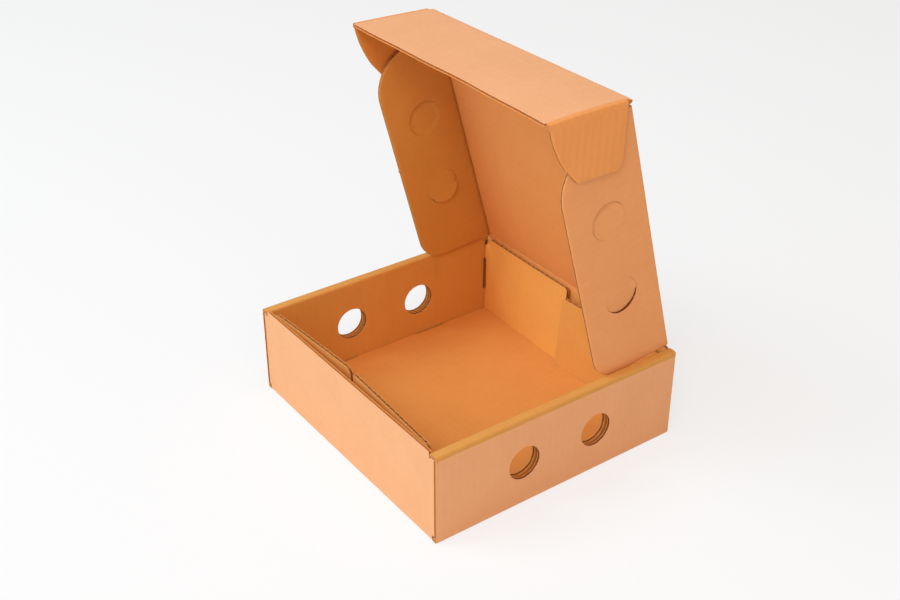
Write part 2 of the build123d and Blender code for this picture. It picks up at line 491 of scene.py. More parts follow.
def flute_values(low: float, high: float) -> Array:
    """Values across the flutes, close enough to draw each wave."""
    return span(low, high, BOARD.pitch / BOARD.samples)


def plain_runs(s_low: float, s_high: float, low: float, high: float) -> list[FluteRun]:
    """One rectangular stretch of fluting."""
    s = flute_values(s_low, s_high)
    return [FluteRun(s, np.full(s.shape, low), np.full(s.shape, high))]


def outline_runs(outline: Array, cross: int, holes: Sequence[tuple[float, float, float]] = (),
                 discs: float = 0.0) -> list[FluteRun]:
    """Fluting inside an outline, cut away round the holes.

    Between holes a flute runs from one side of the outline to the other. Beside a hole of centre c and
    radius r it stops at c -/+ sqrt(r^2 - (s - hole s)^2). A disc left in a hole has its own run.

    Args:
        outline: (n, 2) closed outline.
        cross: column of the outline across the flutes.
        holes: (across, along, radius) of each hole, in order and apart.
        discs: radius of the discs left in the holes, or 0.

    Returns:
        The stretches of fluting.
    """
    margin = 1e-5
    start, finish = outline[:, cross].min() + margin, outline[:, cross].max() - margin
    runs: list[FluteRun] = []
    here = start
    for hole_s, hole_v, radius in holes:
        s = flute_values(here, hole_s - radius)
        runs.append(FluteRun(s, *reach_of(outline, s, cross)))
        s = flute_values(hole_s - radius, hole_s + radius)
        low, high = reach_of(outline, s, cross)
        half = np.sqrt(np.clip(radius ** 2 - (s - hole_s) ** 2, 0, None))
        runs.append(FluteRun(s, low, hole_v - half))
        runs.append(FluteRun(s, hole_v + half, high))
        if discs:
            s = flute_values(hole_s - discs + margin, hole_s + discs - margin)
            half = np.sqrt(np.clip(discs ** 2 - (s - hole_s) ** 2, 0, None))
            runs.append(FluteRun(s, hole_v - half, hole_v + half))
        here = hole_s + radius
    s = flute_values(here, finish)
    runs.append(FluteRun(s, *reach_of(outline, s, cross)))
    return runs


@dataclass
class Panel:
    """One flat panel of board: two liners over a waving fluting."""

    plane: Plane3
    cells: list[Cell]
    runs: list[FluteRun]
    grain: Grain
    warp: Warp = flat
    along_steps: int = 1
    blank_shift: float = 0.0
    pinch: Warp = flat

    def blank(self, p: Array, q: Array) -> Array:
        """Blank coordinates: along the flutes, then across them, shifted so panels differ."""
        pair = (p, q) if self.grain is Grain.ALONG_P else (q, p)
        return np.stack([pair[0] + self.blank_shift, pair[1]], -1).reshape(-1, 2)

    def add_to(self, bag: MeshBag) -> None:
        """Adds the liners and the fluting to a bag."""
        for cell in self.cells:
            lift = self.warp(cell.p, cell.q)
            face = BOARD.half * (1 - self.pinch(cell.p, cell.q))
            self.add_liner(bag, cell, lift + face, lift + face - BOARD.liner, Layer.OUTSIDE)
            self.add_liner(bag, cell, lift + BOARD.liner - face, lift - face, Layer.INSIDE)
        for run in self.runs:
            self.add_fluting(bag, run)

    def add_liner(self, bag: MeshBag, cell: Cell, high: Array, low: Array, layer: Layer) -> None:
        """Adds one liner: the cell's grid at two heights over the mid-plane, joined by walls."""
        top = self.plane.place(cell.p, cell.q, high).reshape(-1, 3)
        bottom = self.plane.place(cell.p, cell.q, low).reshape(-1, 3)
        quads = skin_quads(cell.keep, cell.wrap, cell.open_edge)
        blank = self.blank(cell.p, cell.q)
        everything = np.concatenate(quads)
        layers = np.full(len(everything), layer.value)
        bag.add(np.vstack([top, bottom]), everything, layers, np.vstack([blank, blank]))

    def add_fluting(self, bag: MeshBag, run: FluteRun) -> None:
        """Adds waving fluting: height = room * sin(2 pi s / pitch), with the paper's own thickness."""
        room = BOARD.half - BOARD.liner - BOARD.fluting / 2
        t = np.linspace(0, 1, self.along_steps + 1)[:, None]
        margin = np.minimum(0.0016, (run.high - run.low) / 4)
        start, finish = run.low + margin, run.high - margin
        v = np.vstack([run.low, run.low + margin / 2, start + t * (finish - start),
                       run.high - margin / 2, run.high])
        s = np.broadcast_to(run.s, v.shape)
        p, q = (v, s) if self.grain is Grain.ALONG_P else (s, v)
        phase = 2 * np.pi * s / BOARD.pitch
        wave = room * np.tanh(1.35 * np.sin(phase)) / math.tanh(1.35)
        half = BOARD.fluting / 2
        lift = self.warp(p, q) + wave * (1 - self.pinch(p, q) * BOARD.half / room)
        top = self.plane.place(p, q, lift + half).reshape(-1, 3)
        bottom = self.plane.place(p, q, lift - half).reshape(-1, 3)
        keep = np.ones((p.shape[0] - 1, p.shape[1] - 1), bool)
        quads = np.concatenate(skin_quads(keep, False, lambda side: np.zeros(keep.shape, bool)))
        blank = self.blank(p, q)
        layers = np.full(len(quads), Layer.FLUTING.value)
        bag.add(np.vstack([top, bottom]), quads, layers, np.vstack([blank, blank]))

    def add_painted_shade_sleeve(self, bag: MeshBag, centre: tuple[float, float], radius: float, reach: float) -> None:
        """Adds a thin dark ring of that reach between the liners round a cut hole: partly crushed paper, mostly
        painted shade inside the hole.
        """
        angle = np.linspace(0, 2 * np.pi, 73)
        rings = np.array([radius, radius + reach])[:, None]
        p, q = centre[0] + rings * np.cos(angle), centre[1] + rings * np.sin(angle)
        lift = self.warp(centre[0] + 1.02 * rings * np.cos(angle), centre[1] + 1.02 * rings * np.sin(angle))
        room = BOARD.half - BOARD.liner
        top = self.plane.place(p, q, lift + room).reshape(-1, 3)
        bottom = self.plane.place(p, q, lift - room).reshape(-1, 3)
        keep = np.ones((1, len(angle) - 1), bool)
        quads = np.concatenate(skin_quads(keep, True, lambda side: np.zeros(keep.shape, bool)))
        blank = np.stack([p, q], -1).reshape(-1, 2)
        # Painted shade: the ring takes the dark cut paper.
        layers = np.full(len(quads), Layer.CUT.value)
        bag.add(np.vstack([top, bottom]), quads, layers, np.vstack([blank, blank]))


@dataclass
class Crease:
    """A folded strip of crushed board between two panels.

    In section, the outer line is a rational curve from the first panel's outer face to the second's,
    pulled towards the faces' corner by a weight. The inner line runs towards a corner moved outwards,
    which leaves the crushed groove of a scored crease. Both are carried along the fold. A painted-shade
    groove has painted shade along the middle of its inner line, in the dark cut paper.
    """

    start: Array
    finish: Array
    first: Array
    second: Array
    outward: Array
    reach_first: float
    reach_second: float
    weight: float = 7.0
    crush: float = 0.5
    groove: float = 4.0
    bead: float = 0.0
    nib: float = 0.0
    painted_shade_groove: bool = False
    painted_shade_cells: float = 1.2
    steps: int = 14
    wander: float = 0.00008
    outside_convex: bool = True
    shift: Callable[[Array], Array] | None = None
    blank_shift: float = 0.0
    flutes_along: bool = True

    @property
    def inward(self) -> float:
        """Distance from the fold's corner to both face lines' corner, along the bisector."""
        cos_turn = float(-(self.first @ self.second))
        return BOARD.half * math.sqrt(2 / (1 + max(cos_turn, -0.96)))

    def section(self, side: float, weight: float, crush: float, t: Array) -> Array:
        """Points of one face line of the strip, in the plane across the fold.

        Args:
            side: 1 for the outer face and -1 for the inner.
            weight: pull of the corner on the curve.
            crush: share of the board's half thickness that the corner moves outwards.
            t: curve parameter from the first panel to the second.

        Returns:
            (n, 3) offsets from the fold's own line.
        """
        normal_first = unit(self.outward - (self.outward @ self.first) * self.first)
        spin = np.cross(self.first, self.second)
        normal_second = unit(self.outward - (self.outward @ self.second) * self.second)
        if np.linalg.norm(spin) < 1e-6:
            normal_second = normal_first
        begin = self.reach_first * self.first + side * BOARD.half * normal_first
        end = self.reach_second * self.second + side * BOARD.half * normal_second
        bisector = unit(normal_first + normal_second)
        corner = bisector * (side * self.inward + crush * BOARD.thickness)
        a, b, c = (1 - t) ** 2, 2 * weight * t * (1 - t), t ** 2
        total = (a + b + c)[:, None]
        line = (a[:, None] * begin + b[:, None] * corner + c[:, None] * end) / total
        if side > 0 or not self.bead:
            return line
        swell = np.exp(-((t - 0.66) / 0.13) ** 2) - 0.7 * np.exp(-((t - 0.33) / 0.12) ** 2)
        swell = swell * np.sin(np.pi * t) ** 0.5
        return line - self.bead * swell[:, None] * bisector

    def add_to(self, bag: MeshBag) -> None:
        """Adds the strip to a bag as one closed skin."""
        t = np.linspace(0, 1, self.steps + 1)
        outer = self.section(1, self.weight, 0.0, t)
        inner = self.section(-1, self.groove, self.crush, t)
        length = float(np.linalg.norm(self.finish - self.start))
        along = np.linspace(0, 1, max(3, int(length / (0.0012 if self.nib else 0.004))) + 1)
        line = self.start + along[:, None] * (self.finish - self.start)
        if self.shift is not None:
            line = line + self.shift(along * length)
        ripple = np.sin(along * length * 1900) * 0.6 + np.sin(along * length * 733 + 1.3) * 0.9
        ripple = ripple * self.wander * np.sin(np.pi * along)
        bump = ripple[:, None, None] * (np.sin(np.pi * t) ** 2)[None, :, None] * self.outward
        tip = outer[self.steps // 2] - 0.0004 * self.outward
        narrow = np.ones(along.shape)
        if self.nib:
            narrow = np.clip(length * np.minimum(along, 1 - along) / self.nib, 0.06, 1) ** 0.7
        narrow = narrow[:, None, None]
        top = line[:, None, :] + tip + narrow * (outer[None] - tip - np.abs(bump))
        bottom = line[:, None, :] + tip + narrow * (inner[None] - tip - bump)
        rows, columns = top.shape[:2]
        keep = np.ones((rows - 1, columns - 1), bool)
        quads = skin_quads(keep, False, lambda side: np.zeros(keep.shape, bool))
        faces = (Layer.OUTSIDE, Layer.INSIDE)
        outside, inside = faces if self.outside_convex else faces[::-1]
        layers = np.repeat([outside.value, inside.value, Layer.FLUTING.value], [len(k) for k in quads])
        # Painted shade: the middle cells of the inner line take the dark cut paper, for the shade deep in the
        # fold's groove.
        if self.painted_shade_groove:
            column = np.tile(np.arange(columns - 1), rows - 1)
            middle = np.abs(column - (columns - 2) / 2) < self.painted_shade_cells
            layers[len(quads[0]):len(quads[0]) + len(quads[1])][middle] = Layer.CUT.value
        across = np.concatenate([[0], np.cumsum(np.linalg.norm(np.diff(outer, axis=0), axis=1))])
        u, v = np.meshgrid(along * length, across, indexing="ij")
        pair = (u + self.blank_shift, v) if self.flutes_along else (v + self.blank_shift, u)
        blank = np.stack(pair, -1).reshape(-1, 2)
        points = np.vstack([top.reshape(-1, 3), bottom.reshape(-1, 3)])
        bag.add(points, np.concatenate(quads), layers, np.vstack([blank, blank]))

    def blend(self, piece: bpy.types.Object) -> None:
        """Bakes the finished strip's transform into its mesh."""
        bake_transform(piece)


def linear(red: int, green: int, blue: int) -> Array:
    """Scene-linear colour of a display colour given in 0 to 255."""
    values = np.array([red, green, blue]) / 255
    return np.where(values <= 0.04045, values / 12.92, ((values + 0.055) / 1.055) ** 2.4)


@dataclass(frozen=True)
class KraftPaper:
    """One paper: its display colour, which for the liners carries painted light and shade of their pieces, and
    how strongly fibres, clouds and flutes show.
    """

    name: str
    display: tuple[int, int, int]
    clouds: float = 0.26
    washboard: float = 0.35
    fleck: float = 0.5
    roughness: float = 0.78
    bump: float = 0.5

    @property
    def paper(self) -> tuple[float, ...]:
        """Scene-linear colour of the plain paper."""
        return tuple(linear(*self.display).tolist())

    @property
    def shade(self) -> tuple[float, ...]:
        """Colour of the darker clouds and flecks, and of the flute lines, which are partly painted shade."""
        return tuple((linear(*self.display) * (0.83, 0.74, 0.62)).tolist())

    @property
    def fibre(self) -> tuple[float, ...]:
        """Colour of the pale fibres."""
        return tuple((linear(*self.display) * (1.06, 1.22, 1.45)).clip(0, 0.95).tolist())


# Liner colours: one kraft sheet, copied per piece and tinted lighter, darker, warmer or cooler as painted light
# and shade for how light falls on each piece. The inner liners' colours are partly the paper's own and partly
# painted shade.
TRAY_LINER = KraftPaper("tray_liner", (237, 176, 129))
LID_LINER = KraftPaper("lid_liner", (241, 179, 132))
SIDE_FLAP_LINER = KraftPaper("side_flap_liner", (237, 166, 109))
# The ears' stronger washboard deepens their flute lines, as bump and as painted shade in the colour.
EAR_LINER = KraftPaper("ear_liner", (239, 162, 96), washboard=0.9)
FLOOR_LINER = KraftPaper("floor_liner", (234, 163, 87))
# Painted shade: a darker, more golden copy of the outside liner for the roll-over inner panels, the top strips
# and the front corner flaps.
ROLLED_PAINTED_SHADE_LINER = KraftPaper("rolled_painted_shade_liner", (221, 159, 84))
# Painted light: a brightened copy of the same liner for the rear left corner flap.
REAR_FLAP_PAINTED_LIGHT_LINER = KraftPaper("rear_flap_liner", (246, 178, 92))
# Painted shade: a darker copy of the same liner for the rear right corner flap.
SHADED_FLAP_LINER = KraftPaper("shaded_flap_liner", (236, 168, 88))
# Inner liners: the paper's own colour with painted shade folded in, darkest on the side flaps and the ears.
LID_LINING = KraftPaper("lid_lining", (238, 162, 94))
SIDE_FLAP_LINING = KraftPaper("side_flap_lining", (216, 153, 77))
EAR_LINING = KraftPaper("ear_lining", (219, 144, 68))
FLUTING = KraftPaper("fluting_paper", (192, 130, 80), washboard=0.0, roughness=0.85)
# Dark cut paper: the crushed cut edge's own darker colour, and painted shade in holes, cuts and fold grooves.
CUT_PAPER_AND_PAINTED_SHADE = KraftPaper("cut_paper_and_painted_shade", (118, 64, 32), washboard=0.0, roughness=0.9)


class PaperShader:
    """Builds the shared kraft paper node group and the materials that use it."""

    GROUP = "kraft_surface"

    def __init__(self) -> None:
        """Builds the node group once."""
        self.group = self._build_group()

    @staticmethod
    def _node(tree: bpy.types.NodeTree, kind: str, **settings: object) -> bpy.types.Node:
        """Adds a node and sets its plain properties."""
        node = tree.nodes.new(kind)
        for key, value in settings.items():
            setattr(node, key, value)
        return node

    def _math(self, tree: bpy.types.NodeTree, operation: str, *inputs: object) -> bpy.types.NodeSocket:
        """Adds a Math node fed by numbers or sockets and returns its result."""
        node = self._node(tree, "ShaderNodeMath", operation=operation)
        for socket, value in zip(node.inputs, inputs):
            if isinstance(value, bpy.types.NodeSocket):
                tree.links.new(value, socket)
            else:
                socket.default_value = value
        return node.outputs[0]

    def _noise(self, tree: bpy.types.NodeTree, where: bpy.types.NodeSocket, scale: float, detail: float,
               stretch: tuple[float, float, float] = (1, 1, 1)) -> bpy.types.NodeSocket:
        """Adds stretched noise on the blank's coordinates and returns its factor."""
        mapping = self._node(tree, "ShaderNodeMapping")
        mapping.inputs["Scale"].default_value = stretch
        tree.links.new(where, mapping.inputs["Vector"])
        noise = self._node(tree, "ShaderNodeTexNoise")
        noise.inputs["Scale"].default_value = scale
        noise.inputs["Detail"].default_value = detail
        tree.links.new(mapping.outputs[0], noise.inputs["Vector"])
        return noise.outputs["Fac"]

    def _mix(self, tree: bpy.types.NodeTree, factor: object, a: object, b: object) -> bpy.types.NodeSocket:
        """Adds a colour mix and returns its result."""
        node = self._node(tree, "ShaderNodeMix", data_type="RGBA")
        for socket, value in ((node.inputs[0], factor), (node.inputs[6], a), (node.inputs[7], b)):
            if isinstance(value, bpy.types.NodeSocket):
                tree.links.new(value, socket)
            else:
                socket.default_value = value
        return node.outputs[2]

    def _range(self, tree: bpy.types.NodeTree, value: bpy.types.NodeSocket, low: float, high: float,
               to_low: float = 0.0, to_high: float = 1.0) -> bpy.types.NodeSocket:
        """Maps a value from low..high to new limits, clamped."""
        node = self._node(tree, "ShaderNodeMapRange")
        for name, number in (("From Min", low), ("From Max", high), ("To Min", to_low), ("To Max", to_high)):
            node.inputs[name].default_value = number
        tree.links.new(value, node.inputs["Value"])
        return node.outputs[0]

    def _build_group(self) -> bpy.types.NodeTree:
        """Kraft paper on the blank's coordinates: clouds, fibres, flecks and flute lines."""
        tree = bpy.data.node_groups.new(self.GROUP, "ShaderNodeTree")
        for name in ("Paper", "Shade", "Fibre"):
            tree.interface.new_socket(name, in_out="INPUT", socket_type="NodeSocketColor")
        for name in ("Clouds", "Washboard", "Fleck", "Rough"):
            tree.interface.new_socket(name, in_out="INPUT", socket_type="NodeSocketFloat")
        tree.interface.new_socket("Colour", in_out="OUTPUT", socket_type="NodeSocketColor")
        tree.interface.new_socket("Roughness", in_out="OUTPUT", socket_type="NodeSocketFloat")
        tree.interface.new_socket("Height", in_out="OUTPUT", socket_type="NodeSocketFloat")
        given = self._node(tree, "NodeGroupInput").outputs
        result = self._node(tree, "NodeGroupOutput").inputs
        where = self._node(tree, "ShaderNodeUVMap", uv_map=BLANK_MAP).outputs[0]
        split = self._node(tree, "ShaderNodeSeparateXYZ")
        tree.links.new(where, split.inputs[0])
        clouds = self._noise(tree, where, 26.0, 4.0)
        small_clouds = self._noise(tree, where, 150.0, 3.0)
        both = self._math(tree, "ADD", self._math(tree, "MULTIPLY", clouds, 0.65),
                          self._math(tree, "MULTIPLY", small_clouds, 0.35))
        cloud_mask = self._math(tree, "MULTIPLY", self._range(tree, both, 0.34, 0.66), given["Clouds"])
        colour = self._mix(tree, cloud_mask, given["Paper"], given["Shade"])
        fibres = self._noise(tree, where, 1.0, 5.0, (1500, 260, 1))
        fibre_mask = self._math(tree, "MULTIPLY", self._range(tree, fibres, 0.56, 0.78), given["Fleck"])
        colour = self._mix(tree, self._math(tree, "MULTIPLY", fibre_mask, 0.55), colour, given["Fibre"])
        dark = self._noise(tree, where, 1.0, 3.0, (900, 420, 1))
        dark_mask = self._math(tree, "MULTIPLY", self._range(tree, dark, 0.66, 0.80), given["Fleck"])
        colour = self._mix(tree, self._math(tree, "MULTIPLY", dark_mask, 0.45), colour, given["Shade"])
        # Flute lines: the colour darkens towards the shade colour along the flutes, partly real glue lines and
        # partly painted shade of the washboard's ridges.
        turn = self._math(tree, "MULTIPLY", split.outputs[1], 2 * math.pi / BOARD.pitch)
        wave = self._math(tree, "SINE", turn)
        wave = self._math(tree, "MULTIPLY", self._math(tree, "ADD", wave, 1.0), 0.5)
        line_mask = self._math(tree, "MULTIPLY", self._math(tree, "MULTIPLY", wave, given["Washboard"]), 0.14)
        colour = self._mix(tree, line_mask, colour, given["Shade"])
        tree.links.new(colour, result["Colour"])
        rough = self._math(tree, "ADD", given["Rough"], self._range(tree, both, 0.3, 0.7, -0.06, 0.06))
        tree.links.new(rough, result["Roughness"])
        tooth = self._noise(tree, where, 1.0, 4.0, (2300, 900, 1))
        fine = self._math(tree, "MULTIPLY", tooth, 0.35)
        lines = self._math(tree, "MULTIPLY", wave, given["Washboard"])
        height = self._math(tree, "ADD", fine, self._math(tree, "MULTIPLY", lines, 0.8))
        height = self._math(tree, "ADD", height, self._math(tree, "MULTIPLY", small_clouds, 0.6))
        tree.links.new(height, result["Height"])
        return tree

    def material(self, paper: KraftPaper) -> bpy.types.Material:
        """One material from the shared group.

        Args:
            paper: the finish.

        Returns:
            The new material.
        """
        made = bpy.data.materials.new(paper.name)
        made.use_nodes = True
        tree = made.node_tree
        shader = tree.nodes["Principled BSDF"]
        group = self._node(tree, "ShaderNodeGroup", node_tree=self.group)
        for name, colour in (("Paper", paper.paper), ("Shade", paper.shade), ("Fibre", paper.fibre)):
            group.inputs[name].default_value = (*colour, 1.0)
        numbers = {"Clouds": paper.clouds, "Washboard": paper.washboard, "Fleck": paper.fleck,
                   "Rough": paper.roughness}
        for name, number in numbers.items():
            group.inputs[name].default_value = number
        bump = self._node(tree, "ShaderNodeBump")
        bump.inputs["Strength"].default_value = paper.bump
        bump.inputs["Distance"].default_value = 0.00012
        tree.links.new(group.outputs["Colour"], shader.inputs["Base Color"])
        tree.links.new(group.outputs["Roughness"], shader.inputs["Roughness"])
        tree.links.new(group.outputs["Height"], bump.inputs["Height"])
        tree.links.new(bump.outputs[0], shader.inputs["Normal"])
        shader.inputs["Specular IOR Level"].default_value = 0.1
        made.diffuse_color = (*paper.paper, 1.0)
        return made


@dataclass
class PaperSet:
    """The materials of one piece, in the order of Layer."""

    outside: bpy.types.Material
    inside: bpy.types.Material
    fluting: bpy.types.Material
    cut: bpy.types.Material

    @property
    def ordered(self) -> list[bpy.types.Material]:
        """Outside, inside, fluting and cut papers, the cut paper dark partly as painted shade."""
        return [self.outside, self.inside, self.fluting, self.cut]


def dress(bag: MeshBag, name: str, papers: PaperSet, body: str,
          nodes: Sequence[str] = ()) -> bpy.types.Object:
    """Builds a bag as a piece that rides on a body and stands for CAD nodes."""
    piece = bag.build(name, papers.ordered)
    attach(piece, body)
    if nodes:
        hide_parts(*nodes)
    log.info("%s: %d points, rides on %s", name, len(piece.data.vertices), body)
    return piece


def dress_crease(crease: Crease, name: str, papers: PaperSet, parent: str, child: str) -> bpy.types.Object:
    """Builds a crease as a piece, logged with the two bodies it lies between."""
    bag = MeshBag()
    crease.add_to(bag)
    piece = bag.build(name, papers.ordered)
    crease.blend(piece)
    log.info("%s: bends between %s and %s", name, parent, child)
    return piece


X, Y, Z = np.eye(3)


@dataclass
class Tray:
    """The standing tray: floor, front and rear walls, double side walls and hidden tongues."""

    papers: PaperSet
    # The rolled papers carry painted shade: the outside liner tinted darker and more golden for the inner
    # panels and top strips.
    rolled: PaperSet
    width: float = 0.250
    depth: float = 0.233
    rim: float = 0.079
    front_rim: float = 0.0795
    strip: float = 0.0084
    fold_reach: float = 0.0035
    strip_reach: float = 0.00285
    strip_lap: float = 0.00006
    strip_weight: float = 2.4
    fold_weight: float = 7.0
    sleeve_reach: float = 0.0002
    ridges: tuple[tuple[float, float, float], ...] = (
        (-0.018, 0.0035, 0.0005), (0.0105, 0.006, -0.0004), (0.052, 0.003, 0.0005))
    corner_reach: float = 0.003
    hinge_height: float = 0.08065
    lid_half: float = 0.1129
    face_gap: float = 0.0003
    tab_start: float = 0.032
    tab_length: float = 0.030
    hole_spacing: float = 0.0704
    hole_height: float = 0.038
    hole_radius: float = 0.0145
    tongue_length: float = 0.055
    slot_slack: float = 0.0014
    slit_low: float = 0.025
    slit_high: float = 0.056
    slit_depth: float = 0.0016

    @property
    def wall_x(self) -> float:
        """Mid-plane of the outer side panels."""
        return self.width / 2 - BOARD.half

    @property
    def inner_x(self) -> float:
        """Mid-plane of the inner side panels."""
        return self.width / 2 - self.strip + BOARD.half

    @property
    def tongue_x(self) -> float:
        """Mid-plane of the corner tongues."""
        return self.width / 2 - 1.5 * BOARD.thickness

    @property
    def end_y(self) -> float:
        """Mid-plane of the front and rear walls."""
        return self.depth / 2 - BOARD.half

    @property
    def strip_z(self) -> float:
        """Mid-plane of the top strips."""
        return self.rim - BOARD.half

    @property
    def panel_end(self) -> float:
        """How far the inner side panels run towards the front and rear walls."""
        return self.end_y - BOARD.half - 2 * self.face_gap - BOARD.thickness - self.face_gap / 2

    def floor(self) -> Panel:
        """The floor, with its four tab slots."""
        half_x, half_y = self.wall_x - self.fold_reach, self.end_y - self.fold_reach
        slot_low = self.inner_x - BOARD.half - self.slot_slack
        slot_high = self.inner_x + BOARD.half + self.face_gap
        y_low = self.tab_start - self.face_gap
        y_high = self.tab_start + self.tab_length + self.face_gap
        p_marks = [-half_x, -slot_high, -slot_low, slot_low, slot_high, half_x]
        q_marks = [-half_y, -y_high, -y_low, y_low, y_high, half_y]
        missing = [(*sorted((a * slot_low, a * slot_high)), *sorted((b * y_low, b * y_high)))
                   for a in (-1, 1) for b in (-1, 1)]
        runs = [*plain_runs(-half_y, -y_high, -half_x, half_x), *plain_runs(-y_low, y_low, -half_x, half_x),
                *plain_runs(y_high, half_y, -half_x, half_x)]
        for low, high in ((-y_high, -y_low), (y_low, y_high)):
            runs += plain_runs(low, high, -slot_low, slot_low)
        return Panel(Plane3(BOARD.half * Z, X, Y, -Z), [rect_cell(p_marks, q_marks, 0.03, missing)], runs,
                     Grain.ALONG_P)

    def end_wall(self, end: End) -> Panel:
        """The front or rear wall, rising to its full height between the top strips."""
        side_x = self.tongue_x - self.corner_reach
        strip_x = self.width / 2 - self.strip - self.face_gap
        low = BOARD.half + self.fold_reach
        under = self.rim - BOARD.thickness - self.face_gap
        if end is End.FRONT:
            top = self.front_rim
            p_marks = [-side_x, -strip_x, strip_x, side_x]
            q_marks = [low, under, top]
            missing = [(-side_x, -strip_x, under, top), (strip_x, side_x, under, top)]
            runs = plain_runs(low, under, -side_x, side_x) + plain_runs(under, top, -strip_x, strip_x)
        else:
            top = self.hinge_height - BOARD.half - 0.0004
            crease_low = self.hinge_height - self.fold_reach
            lid_x = self.lid_half
            p_marks = [-side_x, -strip_x, -lid_x, lid_x, strip_x, side_x]
            q_marks = [low, under, crease_low, top]
            missing = [(-side_x, -strip_x, under, top), (strip_x, side_x, under, top),
                       (-lid_x, lid_x, crease_low, top)]
            runs = plain_runs(low, under, -side_x, side_x) + plain_runs(under, crease_low, -strip_x, strip_x)
        plane = Plane3(end.value * self.end_y * Y, X, Z, end.value * Y)
        return Panel(plane, [rect_cell(p_marks, q_marks, 0.03, missing)], runs, Grain.ALONG_P,
                     blank_shift=0.4 + 0.3 * end.value)

    def holed_wall(self, x: float, out: Array, half_y: float, low: float, shift: float, notch: float = 0.0,
                   warp: Warp = flat) -> Panel:
        """A side panel with its two round holes, in two cells that meet at the middle.

        Args:
            x: the panel's mid-plane.
            out: direction of its outside liner.
            half_y: half its length.
            low: its lower edge.
            shift: where it lies on the blank.
            notch: how far its ends stand back beside the corner slits.
            warp: its departure from flat.

        Returns:
            The panel.
        """
        high = self.strip_z - self.strip_reach
        cells = []
        for sign in (-1, 1):
            corners = [(0, low), (sign * half_y, low)]
            if notch:
                deep = sign * (half_y - notch)
                corners += [(sign * half_y, self.slit_low - notch), (deep, self.slit_low),
                            (deep, self.slit_high), (sign * half_y, self.slit_high + notch)]
            corners += [(sign * half_y, high), (0, high)]
            outline = round_outline(corners, [0] * len(corners), 0.003)
            centre = (sign * self.hole_spacing / 2, self.hole_height)
            cells.append(ring_cell(centre, self.hole_radius, outline, seam=lambda p, q: np.abs(p) < 1e-6))
        whole = np.array([(-half_y, low), (half_y, low), (half_y, high), (-half_y, high)])
        holes = [(sign * self.hole_spacing / 2, self.hole_height, self.hole_radius) for sign in (-1, 1)]
        return Panel(Plane3(x * X, Y, Z, out), cells, outline_runs(whole, 0, holes), Grain.ALONG_Q,
                     blank_shift=shift, warp=warp, along_steps=6)

    def pressed(self, p: Array, q: Array) -> Array:
        """Shallow upright ridges and a hollow, height * exp(-((p - place) / width)^2).

        They fade out at the top and the bottom of the wall.
        """
        ridges = 0.0
        for place, width, height in self.ridges:
            ridges = ridges + height * np.exp(-((p - place) / width) ** 2)
        return ridges * np.sin(np.pi * np.clip(q / self.rim, 0, 1)) ** 0.5

    def side_panels(self, side: Side) -> list[Panel]:
        """Outer panel, inner panel, its two tabs and the two tongues of one side wall."""
        sign = side.value
        outer = self.holed_wall(sign * self.wall_x, sign * X, self.depth / 2, BOARD.half + self.fold_reach,
                                0.9 + 0.3 * sign)
        inner_low = BOARD.thickness + self.face_gap
        inner = self.holed_wall(sign * self.inner_x, -sign * X, self.panel_end, inner_low, 1.7 + 0.3 * sign,
                                self.slit_depth, self.pressed)
        panels = [outer, inner]
        for along in (-1, 1):
            low, high = sorted((along * self.tab_start, along * (self.tab_start + self.tab_length)))
            cell = rect_cell([low, high], [self.face_gap, inner_low], 0.03)
            runs = plain_runs(low, high, self.face_gap, inner_low)
            panels.append(Panel(inner.plane, [cell], runs, Grain.ALONG_Q, blank_shift=inner.blank_shift))
        for end in End:
            far = end.value * (self.end_y - self.tongue_length)
            near = end.value * (self.end_y - self.corner_reach)
            low, high = sorted((far, near))
            top = self.rim - BOARD.thickness - self.face_gap
            cell = rect_cell([low, high], [inner_low, top], 0.03)
            runs = plain_runs(inner_low, top, low, high)
            panels.append(Panel(Plane3(sign * self.tongue_x * X, Y, Z, sign * X), [cell], runs, Grain.ALONG_P,
                                blank_shift=2.3))
        return panels

    def long_fold(self, base: Array, first: Array, second: Array, reaches: tuple[float, float],
                  weight: float) -> Crease:
        """A fold that runs the whole depth of the tray.

        Args:
            base: its middle.
            first, second: directions from the fold into its two panels.
            reaches: how far it reaches into each of them.
            weight: how sharp its outer line is.
        """
        half = self.depth / 2 * Y
        return Crease(base - half, base + half, first, second, unit(-first - second), *reaches, weight,
                      flutes_along=False)

    def strip_folds(self) -> list[Crease]:
        """The two folds of each top strip, over which the wall rolls inwards."""
        made = []
        for side in Side:
            sign = side.value
            outer = sign * self.wall_x * X + self.strip_z * Z
            inner = sign * self.inner_x * X + self.strip_z * Z
            reach = self.strip_reach
            made.append(self.long_fold(outer, -Z, -sign * X, (reach, reach), self.strip_weight))
            made.append(self.long_fold(inner, sign * X, -Z, (reach + self.strip_lap, reach), self.strip_weight))
        return made

    def folds(self) -> list[Crease]:
        """The folds at the bottom edges and at the tongues' corners."""
        made = []
        for side in Side:
            base = side.value * self.wall_x * X + BOARD.half * Z
            made.append(self.long_fold(base, -side.value * X, Z, (self.fold_reach, self.fold_reach),
                                       self.fold_weight))
        for end in End:
            sign = end.value
            base = sign * self.end_y * Y + BOARD.half * Z
            reach_x = self.tongue_x - BOARD.half
            made.append(Crease(base - reach_x * X, base + reach_x * X, -sign * Y, Z, unit(sign * Y - Z),
                               self.fold_reach, self.fold_reach))
            low = BOARD.half + self.fold_reach
            top = self.rim - BOARD.thickness - self.face_gap
            for side in Side:
                corner = side.value * self.tongue_x * X + sign * self.end_y * Y
                made.append(Crease(corner + low * Z, corner + top * Z, -side.value * X, -sign * Y,
                                   unit(side.value * X + sign * Y), self.corner_reach, self.corner_reach,
                                   flutes_along=False))
        return made

